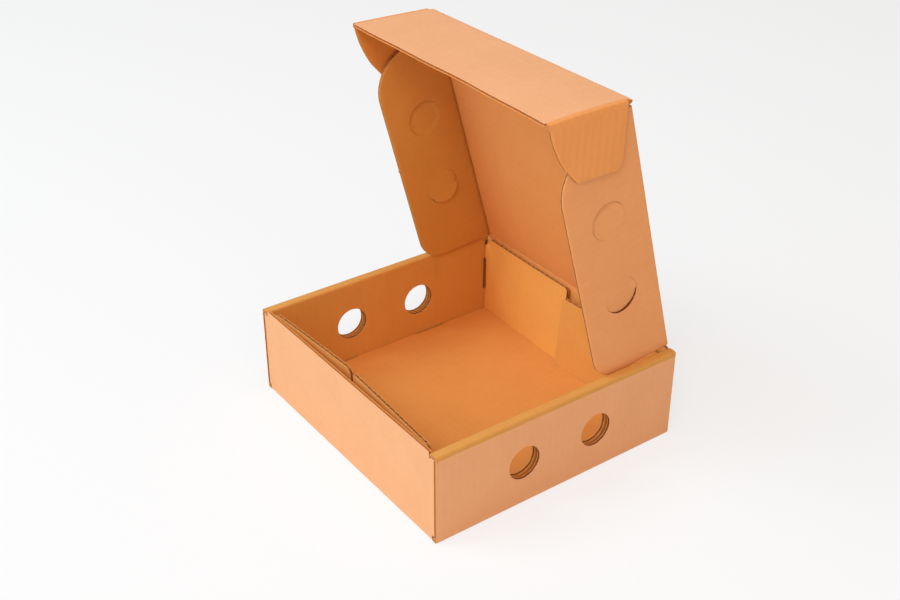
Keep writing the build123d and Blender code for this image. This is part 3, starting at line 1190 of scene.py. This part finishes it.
    def build(self) -> None:
        """Builds the tray in two pieces: what faces outwards, and the roll-over inner panels."""
        outside = MeshBag()
        self.floor().add_to(outside)
        for end in End:
            self.end_wall(end).add_to(outside)
        inside = MeshBag()
        for side in Side:
            outer, inner, *rest = self.side_panels(side)
            outer.add_to(outside)
            inner.add_to(inside)
            for along in (-1, 1):
                # Each hole gets a dark sleeve between its liners, painted shade of the hole's depth.
                centre = (along * self.hole_spacing / 2, self.hole_height)
                outer.add_painted_shade_sleeve(outside, centre, self.hole_radius + self.sleeve_reach, self.sleeve_reach)
                inner.add_painted_shade_sleeve(inside, centre, self.hole_radius + self.sleeve_reach, self.sleeve_reach)
            for panel in rest[:2]:
                panel.add_to(inside)
            for panel in rest[2:]:
                panel.add_to(outside)
        for fold in self.strip_folds():
            fold.add_to(inside)
        for fold in self.folds():
            fold.add_to(outside)
        dress(outside, "tray_board", self.papers, "tray", ["tray"])
        # The inner panels, tabs and strip folds get the rolled papers, with their painted shade.
        dress(inside, "tray_inner_panels", self.rolled, "tray")


@dataclass
class CornerFlap:
    """An inner corner flap: a tall board that turns on the end of an inner side panel."""

    side: Side
    end: End
    free_x: float
    top: float
    spring: float
    free_radius: float = 0.003
    skew: float = 0.0
    settle_top: float = 0.0
    settle_low: float = 0.0
    shoulder: float = 0.0705
    shoulder_flat: float = 0.00335
    shoulder_run: float = 0.009
    low: float = 0.003
    reach_panel: float = 0.0018
    reach_flap: float = 0.0022
    bow: float = 0.0006

    @property
    def body(self) -> str:
        """The CAD node and body it stands for."""
        return f"corner_flap_{self.end.word}_{self.side.word}"

    def build(self, tray: Tray, papers: PaperSet) -> None:
        """Builds the flap and its crease.

        Args:
            tray: the tray that it turns in.
            papers: its papers.
        """
        side, end = self.side.value, self.end.value
        turn = math.radians(self.spring)
        along = -side * math.cos(turn) * X - end * math.sin(turn) * Y
        face = side * math.sin(turn) * X - end * math.cos(turn) * Y
        pivot = np.array([side * (tray.inner_x - BOARD.half - tray.face_gap / 2),
                          end * (tray.panel_end + tray.face_gap), 0])
        back = BOARD.half + tray.face_gap / 2
        fold = pivot - face * back - along * back
        length = (side * pivot[0] - side * self.free_x) / math.cos(turn) + back
        near, deep = self.reach_flap, self.reach_flap + tray.slit_depth
        slope = tray.slit_depth
        corners = [(near, self.low), (length - self.skew, self.low), (length + self.skew, self.top),
                   (self.shoulder_run, self.top), (self.shoulder_flat, self.shoulder), (near, self.shoulder),
                   (near, tray.slit_high + slope), (deep, tray.slit_high), (deep, tray.slit_low),
                   (near, tray.slit_low - slope)]
        radii = [0, self.free_radius, self.free_radius, 0.003] + [0] * 6
        outline = round_outline(corners, radii)
        plane = Plane3(fold, along, Z, face)
        middle = ((near + length) / 2, (self.low + self.top) / 2)

        def bowed(p: Array, q: Array) -> Array:
            """A shallow bow, sin(pi p / length), and a free end that settles back towards the wall."""
            share, height = np.clip(p / length, 0, 1), np.clip(q / self.top, 0, 1)
            settle = self.settle_low + (self.settle_top - self.settle_low) * height
            return self.bow * np.sin(np.pi * share) * np.sin(np.pi * height * 0.8) - settle * share ** 1.2

        panel = Panel(plane, [star_cell(middle, outline, 9)], outline_runs(outline, 0), Grain.ALONG_Q,
                      bowed, 6, blank_shift=3.0 + 0.4 * side + 0.2 * end)
        bag = MeshBag()
        panel.add_to(bag)
        dress(bag, f"{self.body}_board", papers, self.body, [self.body])
        for word, low, high in (("low", self.low, tray.slit_low), ("high", tray.slit_high, self.shoulder)):
            crease = Crease(fold + low * Z, fold + high * Z, -end * Y, along, unit(end * Y - along),
                            self.reach_panel, self.reach_flap, weight=1.5, crush=0.35, groove=2.5,
                            outside_convex=False, flutes_along=True)
            dress_crease(crease, f"{self.body}_crease_{word}", papers, "tray", self.body)


@dataclass
class Lid:
    """The lid panel, its hinge crease and the creases of its side flaps."""

    hinge_y: float = 0.11515
    hinge_z: float = 0.08065
    opening: float = 74.5
    length: float = 0.2315
    half_width: float = 0.11475
    half_hinge: float = 0.1142
    half_far_fold: float = 0.1182
    fold_reach: float = 0.0035
    side_reach: float = 0.003
    flap_start: float = 0.0012
    flap_end: float = 0.226

    @property
    def plane(self) -> Plane3:
        """p across the lid, q up it, out on its outer face."""
        lean = math.radians(self.opening)
        up = -math.cos(lean) * Y + math.sin(lean) * Z
        outer = math.sin(lean) * Y + math.cos(lean) * Z
        return Plane3(self.hinge_y * Y + self.hinge_z * Z, X, up, outer)

    def build(self, papers: PaperSet, side_papers: PaperSet) -> None:
        """Builds the lid's board and its creases, those of the side flaps in the side flaps' papers."""
        plane = self.plane
        half = self.half_width - self.side_reach
        low, high = self.fold_reach, self.length - self.fold_reach

        def wavy(p: Array, q: Array) -> Array:
            """Gentle unevenness that dies out at every edge."""
            sideways = np.cos(np.pi * np.clip(p / half, -1, 1) / 2)
            fade = sideways * np.sin(np.pi * np.clip(q / self.length, 0, 1))
            return 0.0005 * fade * (np.sin(38 * p + 1.0) + 0.6 * np.sin(47 * q + 23 * p))

        cell = rect_cell([-half, half], [low, high], 0.006)
        panel = Panel(plane, [cell], plain_runs(low, high, -half, half), Grain.ALONG_P, wavy, 24,
                      blank_shift=4.2)
        bag = MeshBag()
        panel.add_to(bag)
        dress(bag, "lid_board", papers, "lid", ["lid"])
        hinge = Crease(plane.edge(-self.half_hinge, 0), plane.edge(self.half_hinge, 0), -Z, plane.along,
                       unit(Y + plane.out), self.fold_reach, self.fold_reach, weight=1.0, crush=0.28,
                       groove=2.0, bead=0.0009, steps=26, blank_shift=5.0)
        dress_crease(hinge, "lid_hinge_crease", papers, "tray", "lid")
        for side in Side:
            sign = side.value
            # The side flaps' creases carry painted shade along their inner groove.
            fold = Crease(plane.edge(sign * self.half_width, self.flap_start),
                          plane.edge(sign * self.half_width, self.flap_end), -sign * X, -plane.out,
                          unit(sign * X + plane.out), self.side_reach, self.side_reach,
                          painted_shade_groove=True, blank_shift=5.4, flutes_along=False)
            dress_crease(fold, f"side_flap_{side.word}_crease", side_papers, "lid", f"side_flap_{side.word}")


@dataclass(frozen=True)
class Disc:
    """A partly cut disc: where it is, which way its bridge lies and how it stands off its flap."""

    u: float
    bridge: float
    tilt: float


@dataclass
class SideFlap:
    """A lid side flap: tapered ends, round corners and two partly cut discs."""

    side: Side
    discs: tuple[Disc, Disc]
    depth: float = 0.0714
    start: float = 0.001
    taper: float = 11.7
    low_radius: float = 0.024
    end: float = 0.226
    end_taper: float = 15.0
    high_radius: float = 0.034
    disc_radius: float = 0.0146
    disc_w: float = 0.0353
    kerf: float = 0.0006
    tight: float = 0.00004
    bridge_half_angle: float = 25.0
    lifted_share: float = 0.4
    web_margin: float = 0.0003
    web_share: float = 0.99
    dent: float = 0.0
    narrowing: float = 0.0

    @property
    def body(self) -> str:
        """The CAD node and body it stands for."""
        return f"side_flap_{self.side.word}"

    def build(self, lid: Lid, papers: PaperSet) -> None:
        """Builds the flap on the lid's side crease.

        Args:
            lid: the lid that carries it.
            papers: its papers.
        """
        sign = self.side.value
        base = lid.plane
        plane = Plane3(base.edge(sign * lid.half_width, 0), base.along, -base.out, sign * X)
        near = lid.side_reach
        low_slope, high_slope = math.tan(math.radians(self.taper)), math.tan(math.radians(self.end_taper))
        corners = [(self.start + near * low_slope, near), (self.end - near * high_slope, near),
                   (self.end - self.depth * high_slope, self.depth - self.narrowing),
                   (self.start + self.depth * low_slope, self.depth)]
        whole = round_outline(corners, [0, 0, self.high_radius, self.low_radius], 0.0025)
        middle = (self.discs[0].u + self.discs[1].u) / 2
        pressed = PressedEdge(whole, near)
        cells = []
        for number, disc in enumerate(self.discs):
            keep_low = number == 0
            part = whole[whole[:, 0] < middle - 1e-4] if keep_low else whole[whole[:, 0] > middle + 1e-4]
            cut = np.column_stack([np.full(24, middle), np.linspace(near, self.depth, 24)])
            ring = np.vstack([part, cut])
            angle = np.arctan2(ring[:, 1] - self.disc_w, ring[:, 0] - disc.u)
            ring = ring[np.argsort(angle)]
            cells.append(ring_cell((disc.u, self.disc_w), self.disc_radius + self.kerf, ring, 9,
                                   lambda p, q: np.abs(p - middle) < 1e-6, pressed.rim))
            cells += self.disc_cells(disc)
        holes = [(disc.u, self.disc_w, self.disc_radius + self.kerf) for disc in self.discs]
        runs = outline_runs(whole, 0, holes, self.disc_radius)

        def shaped(p: Array, q: Array) -> Array:
            """Discs turned about their bridges, and a shallow dent round the far disc."""
            lift = np.zeros(np.broadcast(p, q).shape)
            for disc in self.discs:
                lift = lift + self.disc_lift(disc, p, q)
            far = self.discs[1]
            distance = np.hypot(p - far.u, q - self.disc_w)
            outside = distance > self.disc_radius + self.kerf / 2
            lift = lift + np.where(outside, self.dent * np.exp(-((distance - 0.02) / 0.009) ** 2), 0)
            return lift

        panel = Panel(plane, cells, runs, Grain.ALONG_Q, shaped, 10, blank_shift=6.0 + 0.5 * sign,
                      pinch=pressed)
        bag = MeshBag()
        panel.add_to(bag)
        self.add_webs(bag, plane)
        dress(bag, f"{self.body}_board", papers, self.body, [self.body])

    def disc_lift(self, disc: Disc, p: Array, q: Array) -> Array:
        """Height of a disc over its flap: tilt * (share of the way from its bridge)^2.2."""
        angle = math.radians(disc.bridge)
        inside = np.hypot(p - disc.u, q - self.disc_w) < self.disc_radius + self.kerf * self.lifted_share
        along = (p - disc.u) * math.cos(angle) + (q - self.disc_w) * math.sin(angle)
        share = np.clip((self.disc_radius - along) / (2 * self.disc_radius), 0, 1)
        return np.where(inside, disc.tilt * share ** 2.2, 0)

    def add_webs(self, bag: MeshBag, plane: Plane3) -> None:
        """Adds a thin sheet deep in each round cut, from the disc's edge to the flap's: uncut paper in the dark
        cut paper, painted shade of the cut's depth.

        The inner ring follows the disc's height and the outer ring stays with the flap.

        Args:
            bag: the flap's bag.
            plane: the flap's frame.
        """
        for disc in self.discs:
            angle = np.linspace(0, 2 * np.pi, 73)
            radius = np.array([self.disc_radius - self.web_margin,
                               self.disc_radius + self.kerf + self.web_margin])[:, None]
            p = disc.u + radius * np.cos(angle)
            q = self.disc_w + radius * np.sin(angle)
            edge_p = disc.u + self.web_share * self.disc_radius * np.cos(angle)
            edge_q = self.disc_w + self.web_share * self.disc_radius * np.sin(angle)
            lift = np.vstack([self.disc_lift(disc, edge_p, edge_q), np.zeros(angle.shape)])
            top = plane.place(p, q, lift + BOARD.fluting / 2).reshape(-1, 3)
            bottom = plane.place(p, q, lift - BOARD.fluting / 2).reshape(-1, 3)
            keep = np.ones((1, len(angle) - 1), bool)
            quads = np.concatenate(skin_quads(keep, True, lambda side: np.zeros((1, len(angle) - 1), bool)))
            blank = np.stack([p, q], -1).reshape(-1, 2)
            # Painted shade: the sheet takes the dark cut paper.
            layers = np.full(len(quads), Layer.CUT.value)
            bag.add(np.vstack([top, bottom]), quads, layers, np.vstack([blank, blank]))

    def disc_cells(self, disc: Disc) -> list[Cell]:
        """The disc's own face, and the bridge that fills the cut at one side.

        The cut is tight at the bridge and widens with ((1 - cos(angle from the bridge)) / 2)^1.5.
        """
        angle = np.linspace(0, 2 * np.pi, 61)[:-1]
        away = (1 - np.cos(angle - math.radians(disc.bridge))) / 2
        radius = self.disc_radius + self.kerf - self.tight - (self.kerf - self.tight) * away ** 1.5
        rim = np.column_stack([disc.u + radius * np.cos(angle), self.disc_w + radius * np.sin(angle)])
        face = star_cell((disc.u, self.disc_w), rim, 6)
        spread = math.radians(self.bridge_half_angle)
        turn = math.radians(disc.bridge) + np.linspace(-spread, spread, 9)
        hole = self.disc_radius + self.kerf
        radius = np.array([hole - 2 * self.tight, hole + self.tight])[:, None]
        across, along = disc.u + radius * np.cos(turn), self.disc_w + radius * np.sin(turn)
        bridge = Cell(across, along, np.ones((1, len(turn) - 1), bool))
        return [face, bridge]


@dataclass
class TuckFlap:
    """The tuck flap with its crease, and the ears' creases on its sides."""

    fold: float = 72.5
    length: float = 0.074
    half_width: float = 0.1178
    left_spread: float = 0.0022
    side_reach: float = 0.003
    ear_start: float = 0.0035
    ear_end: float = 0.073
    droop: float = 0.0024

    def half(self, side: Side) -> float:
        """Distance of an ear's crease from the middle; the left one has spread a little."""
        return self.half_width + (self.left_spread if side is Side.LEFT else 0.0)

    def plane(self, lid: Lid) -> Plane3:
        """p across the flap, q along it from its fold, out on its upper face."""
        base = lid.plane
        turn = math.radians(self.fold)
        along = math.cos(turn) * base.along - math.sin(turn) * base.out
        out = math.sin(turn) * base.along + math.cos(turn) * base.out
        return Plane3(base.edge(0, lid.length), X, along, out)

    def sag(self, p: Array, q: Array) -> Array:
        """Twist and waves of the free edge, growing with the square of the distance from the fold.

        The right corner hangs by the droop, the left one stays, and two slow waves run between.
        """
        share = np.clip(q / self.length, 0, 1) ** 2
        across = (p / self.half_width + 1) / 2
        waves = 0.00035 * (np.sin(31 * p + 0.6) - 1) + 0.0002 * (np.sin(83 * p) - 1)
        return share * (-self.droop * np.clip(across, 0, 1) ** 1.5 + waves)

    def build(self, lid: Lid, papers: PaperSet, ear_papers: PaperSet) -> None:
        """Builds the flap, its crease and the ears' creases.

        Args:
            lid: the lid that carries it.
            papers: its papers.
            ear_papers: papers of the ears and their creases.
        """
        plane = self.plane(lid)
        left, right = (self.half(side) - self.side_reach for side in Side)
        low = lid.fold_reach
        cell = rect_cell([-left, right], [low, self.length], 0.004)
        panel = Panel(plane, [cell], plain_runs(low, self.length, -left, right), Grain.ALONG_P, self.sag, 56,
                      blank_shift=7.5)
        bag = MeshBag()
        panel.add_to(bag)
        dress(bag, "tuck_flap_board", papers, "tuck_flap", ["tuck_flap"])
        base = lid.plane
        crease = Crease(plane.edge(-lid.half_far_fold, 0), plane.edge(lid.half_far_fold, 0), -base.along,
                        plane.along, unit(base.out + plane.out), lid.fold_reach, lid.fold_reach, weight=4.0,
                        nib=0.0026, blank_shift=7.9)
        dress_crease(crease, "tuck_flap_crease", papers, "lid", "tuck_flap")
        for side in Side:
            sign = side.value

            def follow(distance: Array, sign: int = sign) -> Array:
                """Carries the crease with the flap's sagging edge."""
                lift = self.sag(np.full(distance.shape, sign * self.half_width), distance + self.ear_start)
                return lift[:, None] * plane.out

            fold = Crease(plane.edge(sign * self.half(side), self.ear_start),
                          plane.edge(sign * self.half(side), self.ear_end), -sign * X, -plane.out,
                          unit(sign * X + plane.out), self.side_reach, self.side_reach, 2.6, shift=follow,
                          flutes_along=False, blank_shift=8.3)
            dress_crease(fold, f"ear_{side.word}_crease", ear_papers, "tuck_flap", f"ear_{side.word}")


@dataclass
class Ear:
    """An ear of the tuck flap: square near the lid and curving away towards the free edge."""

    side: Side
    depth: float = 0.050
    start: float = 0.0025
    end: float = 0.073
    shoulder: float = 0.0435
    bulge: float = 0.0045
    near_radius: float = 0.007
    shoulder_radius: float = 0.004

    @property
    def body(self) -> str:
        """The CAD node and body it stands for."""
        return f"ear_{self.side.word}"

    def outline(self, near: float) -> Array:
        """Outline over the crease: an arc that bulges off its chord, and two round corners."""
        first, last = np.array([self.shoulder, self.depth]), np.array([self.end, 0.0])
        chord = last - first
        normal = unit([-chord[1], chord[0]])
        t = np.linspace(0, 1, 40)[:, None]
        arc = first + t * chord + 4 * self.bulge * t * (1 - t) * normal
        arc = arc[arc[:, 1] > near]
        corner = round_outline([(self.start, near), (self.start, self.depth), (self.shoulder, self.depth),
                                tuple(arc[12])], [0, self.near_radius, self.shoulder_radius, 0], 0.0025)
        corner = corner[: int(np.argmin(np.hypot(*(corner - arc[12]).T))) + 1]
        return even_outline(np.vstack([corner, arc[13:], [(arc[-1, 0], near)]]), 0.0025)

    def build(self, tuck: TuckFlap, lid: Lid, papers: PaperSet) -> None:
        """Builds the ear on the tuck flap's side crease.

        Args:
            tuck: the tuck flap that carries it.
            lid: the lid that carries the tuck flap.
            papers: its papers.
        """
        sign = self.side.value
        base = tuck.plane(lid)
        plane = Plane3(base.edge(sign * tuck.half(self.side), 0), base.along, -base.out, sign * X)
        outline = self.outline(tuck.side_reach)
        middle = (0.6 * self.shoulder, self.depth / 2)
        pressed = PressedEdge(outline, tuck.side_reach)
        cell = star_cell(middle, outline, 8, rim=pressed.rim)

        def thinned(p: Array, q: Array) -> Array:
            """The pressed edge, carried with the flap's sagging edge."""
            return pressed(p, q + tuck.sag(np.full(np.shape(p), sign * tuck.half_width), p))

        drop = tuck.sag(np.full(cell.p.shape, sign * tuck.half_width), cell.p)
        cell.q = cell.q - drop
        runs = outline_runs(outline, 0)
        for run in runs:
            lift = tuck.sag(np.full(run.s.shape, sign * tuck.half_width), run.s)
            run.low = run.low - lift
            run.high = run.high - lift
        panel = Panel(plane, [cell], runs, Grain.ALONG_Q, flat, 4, blank_shift=9.0 + 0.4 * sign,
                      pinch=thinned)
        bag = MeshBag()
        panel.add_to(bag)
        dress(bag, f"{self.body}_board", papers, self.body, [self.body])


@dataclass(frozen=True)
class Lamp:
    """A square soft lamp: its name, place, side length, power and colour."""

    name: str
    place: tuple[float, float, float]
    size: float
    power: float
    colour: tuple[float, float, float]


LAMPS = (
    Lamp("key", (-1.1, -1.7, 1.9), 1.6, 46.5, (0.71, 0.86, 1.0)),
    Lamp("front", (0.3, -2.4, 0.9), 1.6, 14, (0.93, 1.0, 1.0)),
    Lamp("fill", (2.2, -0.4, 1.3), 1.6, 16.5, (1.0, 0.81, 0.67)),
    Lamp("high", (1.2, -1.7, 2.4), 0.8, 22, (1.0, 0.86, 0.76)),
    Lamp("top", (0.2, 0.1, 2.6), 1.6, 14, (0.96, 0.95, 1.0)),
)


@dataclass
class Studio:
    """Floor, soft lamps, world and the camera at the photograph's angle."""

    azimuth: float = 54.076
    elevation: float = 31.071
    distance: float = 1.243
    target: tuple[float, float, float] = (-0.14853, 0.09358, 0.0)
    roll: float = 0.065
    focal_px: float = 1294.8
    image_width: float = 900.0
    centre_px: tuple[float, float] = (449.74, 301.26)
    image_centre: tuple[float, float] = (450.0, 300.0)
    sensor: float = 36.0
    world: float = 0.207
    world_tint: tuple[float, float, float] = (1.0, 0.85, 0.68)
    floor_colour: tuple[float, float, float] = (0.85, 0.85, 0.85)
    floor_white: float = 0.7
    floor_half: float = 6.0
    aim: tuple[float, float, float] = (0, 0, 0.1)

    def camera(self) -> None:
        """Places the camera from its azimuth, elevation and distance to the target."""
        a, e = math.radians(self.azimuth), math.radians(self.elevation)
        back = Vector((math.sin(a) * math.cos(e), -math.cos(a) * math.cos(e), math.sin(e)))
        data = bpy.data.cameras.new("photo_camera")
        data.sensor_width = self.sensor
        data.lens = self.focal_px * self.sensor / self.image_width
        data.shift_x = (self.image_centre[0] - self.centre_px[0]) / self.image_width
        data.shift_y = (self.centre_px[1] - self.image_centre[1]) / self.image_width
        camera = bpy.data.objects.new("photo_camera", data)
        camera.location = Vector(self.target) + back * self.distance
        camera.rotation_mode = "QUATERNION"
        level = (-back).to_track_quat("-Z", "Y")
        camera.rotation_quaternion = level @ Quaternion((0, 0, 1), math.radians(self.roll))
        bpy.context.scene.collection.objects.link(camera)
        bpy.context.scene.camera = camera

    def hang(self, lamp: Lamp) -> None:
        """Adds a soft lamp that faces the box."""
        data = bpy.data.lights.new(lamp.name, "AREA")
        data.shape, data.size, data.energy, data.color = "SQUARE", lamp.size, lamp.power, lamp.colour
        item = bpy.data.objects.new(lamp.name, data)
        item.location = lamp.place
        aim = Vector(self.aim) - Vector(lamp.place)
        item.rotation_mode = "QUATERNION"
        item.rotation_quaternion = aim.to_track_quat("-Z", "Y")
        bpy.context.scene.collection.objects.link(item)

    @staticmethod
    def background_rays(tree: bpy.types.NodeTree) -> bpy.types.NodeSocket:
        """One for camera, glossy and transmission rays, which see the plain white background."""
        path = tree.nodes.new("ShaderNodeLightPath")
        seen = path.outputs["Is Camera Ray"]
        for kind in ("Is Glossy Ray", "Is Transmission Ray"):
            either = tree.nodes.new("ShaderNodeMath")
            either.operation = "MAXIMUM"
            tree.links.new(seen, either.inputs[0])
            tree.links.new(path.outputs[kind], either.inputs[1])
            seen = either.outputs[0]
        return seen

    def background(self) -> None:
        """Even world light that is plain white to the camera and to glossy rays."""
        world = bpy.data.worlds.new("studio")
        world.use_nodes = True
        tree = world.node_tree
        tree.nodes.clear()
        lit, white = tree.nodes.new("ShaderNodeBackground"), tree.nodes.new("ShaderNodeBackground")
        lit.inputs["Strength"].default_value = self.world
        white.inputs["Strength"].default_value = 1.0
        white.inputs["Color"].default_value = (1, 1, 1, 1)
        lit.inputs["Color"].default_value = (*self.world_tint, 1)
        mix, out = tree.nodes.new("ShaderNodeMixShader"), tree.nodes.new("ShaderNodeOutputWorld")
        tree.links.new(self.background_rays(tree), mix.inputs[0])
        tree.links.new(lit.outputs[0], mix.inputs[1])
        tree.links.new(white.outputs[0], mix.inputs[2])
        tree.links.new(mix.outputs[0], out.inputs[0])
        bpy.context.scene.world = world

    def floor(self) -> None:
        """A wide pale floor just under the box."""
        half = self.floor_half
        points = np.array([(-half, -half, 0), (half, -half, 0), (half, half, 0), (-half, half, 0)])
        mesh = bpy.data.meshes.new("floor")
        mesh.from_pydata(points.tolist(), [], [(0, 1, 2, 3)])
        floor = bpy.data.objects.new("floor", mesh)
        paint = bpy.data.materials.new("pale_floor")
        paint.use_nodes = True
        tree = paint.node_tree
        shader = tree.nodes["Principled BSDF"]
        shader.inputs["Base Color"].default_value = (*self.floor_colour, 1)
        shader.inputs["Roughness"].default_value = 0.9
        shader.inputs["Specular IOR Level"].default_value = 0.0
        paper = tree.nodes.new("ShaderNodeEmission")
        share = tree.nodes.new("ShaderNodeMath")
        share.operation = "MULTIPLY"
        share.inputs[1].default_value = self.floor_white
        tree.links.new(self.background_rays(tree), share.inputs[0])
        mix = tree.nodes.new("ShaderNodeMixShader")
        tree.links.new(share.outputs[0], mix.inputs[0])
        tree.links.new(shader.outputs[0], mix.inputs[1])
        tree.links.new(paper.outputs[0], mix.inputs[2])
        tree.links.new(mix.outputs[0], tree.nodes["Material Output"].inputs["Surface"])
        mesh.materials.append(paint)
        bpy.context.scene.collection.objects.link(floor)

    def build(self) -> None:
        """Sets the whole studio up."""
        bpy.context.scene.view_settings.view_transform = "Standard"
        self.floor()
        self.background()
        for lamp in LAMPS:
            self.hang(lamp)
        self.camera()


class PaperShelf:
    """Makes each paper's material once and hands it out."""

    def __init__(self) -> None:
        """Builds the shared shader."""
        self.shader = PaperShader()
        self.made: dict[str, bpy.types.Material] = {}

    def take(self, paper: KraftPaper) -> bpy.types.Material:
        """The material of one paper."""
        if paper.name not in self.made:
            self.made[paper.name] = self.shader.material(paper)
        return self.made[paper.name]

    def pair(self, outside: KraftPaper, inside: KraftPaper) -> PaperSet:
        """The papers of a piece with the given outside and inside."""
        return PaperSet(*(self.take(paper) for paper in (outside, inside, FLUTING, CUT_PAPER_AND_PAINTED_SHADE)))


def corner_flaps() -> list[CornerFlap]:
    """The four corner flaps, front left, front right, rear left and rear right."""
    return [
        CornerFlap(Side.LEFT, End.FRONT, free_x=-0.0030, top=0.0798, spring=3.5, free_radius=0.007),
        CornerFlap(Side.RIGHT, End.FRONT, free_x=0.0027, top=0.0798, spring=2.7),
        CornerFlap(Side.LEFT, End.REAR, free_x=-0.0028, top=0.0790, spring=2.1, skew=0.0032,
                   settle_top=0.003, settle_low=0.001),
        CornerFlap(Side.RIGHT, End.REAR, free_x=-0.0012, top=0.0730, spring=3.6, free_radius=0.004,
                   skew=-0.0032),
    ]


def side_flaps() -> list[SideFlap]:
    """The lid's two side flaps, each with a lower and an upper disc."""
    left = (Disc(LOWER_DISC, LOWER_BRIDGE, tilt=-0.0024), Disc(UPPER_DISC, UPPER_BRIDGE, tilt=0.0016))
    right = (Disc(LOWER_DISC, LOWER_BRIDGE, tilt=-0.0019), Disc(UPPER_DISC, UPPER_BRIDGE, tilt=-0.0028))
    return [SideFlap(Side.LEFT, left, narrowing=0.0014, dent=-0.0008),
            SideFlap(Side.RIGHT, right, start=0.0008, taper=9.4)]


def main() -> None:
    """Builds the box and its studio."""
    shelf = PaperShelf()
    rolled = shelf.pair(ROLLED_PAINTED_SHADE_LINER, FLOOR_LINER)
    rear = shelf.pair(REAR_FLAP_PAINTED_LIGHT_LINER, FLOOR_LINER)
    shaded = shelf.pair(SHADED_FLAP_LINER, FLOOR_LINER)
    tray = Tray(shelf.pair(TRAY_LINER, FLOOR_LINER), rolled)
    tray.build()
    # Corner flaps: the front ones take the rolled painted-shade copy, the rear left the painted-light copy, the
    # rear right the painted-shade copy.
    for flap, papers in zip(corner_flaps(), (rolled, rolled, rear, shaded)):
        flap.build(tray, papers)
    lid_papers = shelf.pair(LID_LINER, LID_LINING)
    side_papers = shelf.pair(SIDE_FLAP_LINER, SIDE_FLAP_LINING)
    ear_papers = shelf.pair(EAR_LINER, EAR_LINING)
    lid = Lid()
    lid.build(lid_papers, side_papers)
    tuck = TuckFlap()
    tuck.build(lid, lid_papers, ear_papers)
    for flap in side_flaps():
        flap.build(lid, side_papers)
    for side in Side:
        Ear(side).build(tuck, lid, ear_papers)
    Studio().build()


if __name__ == "__main__":
    main()
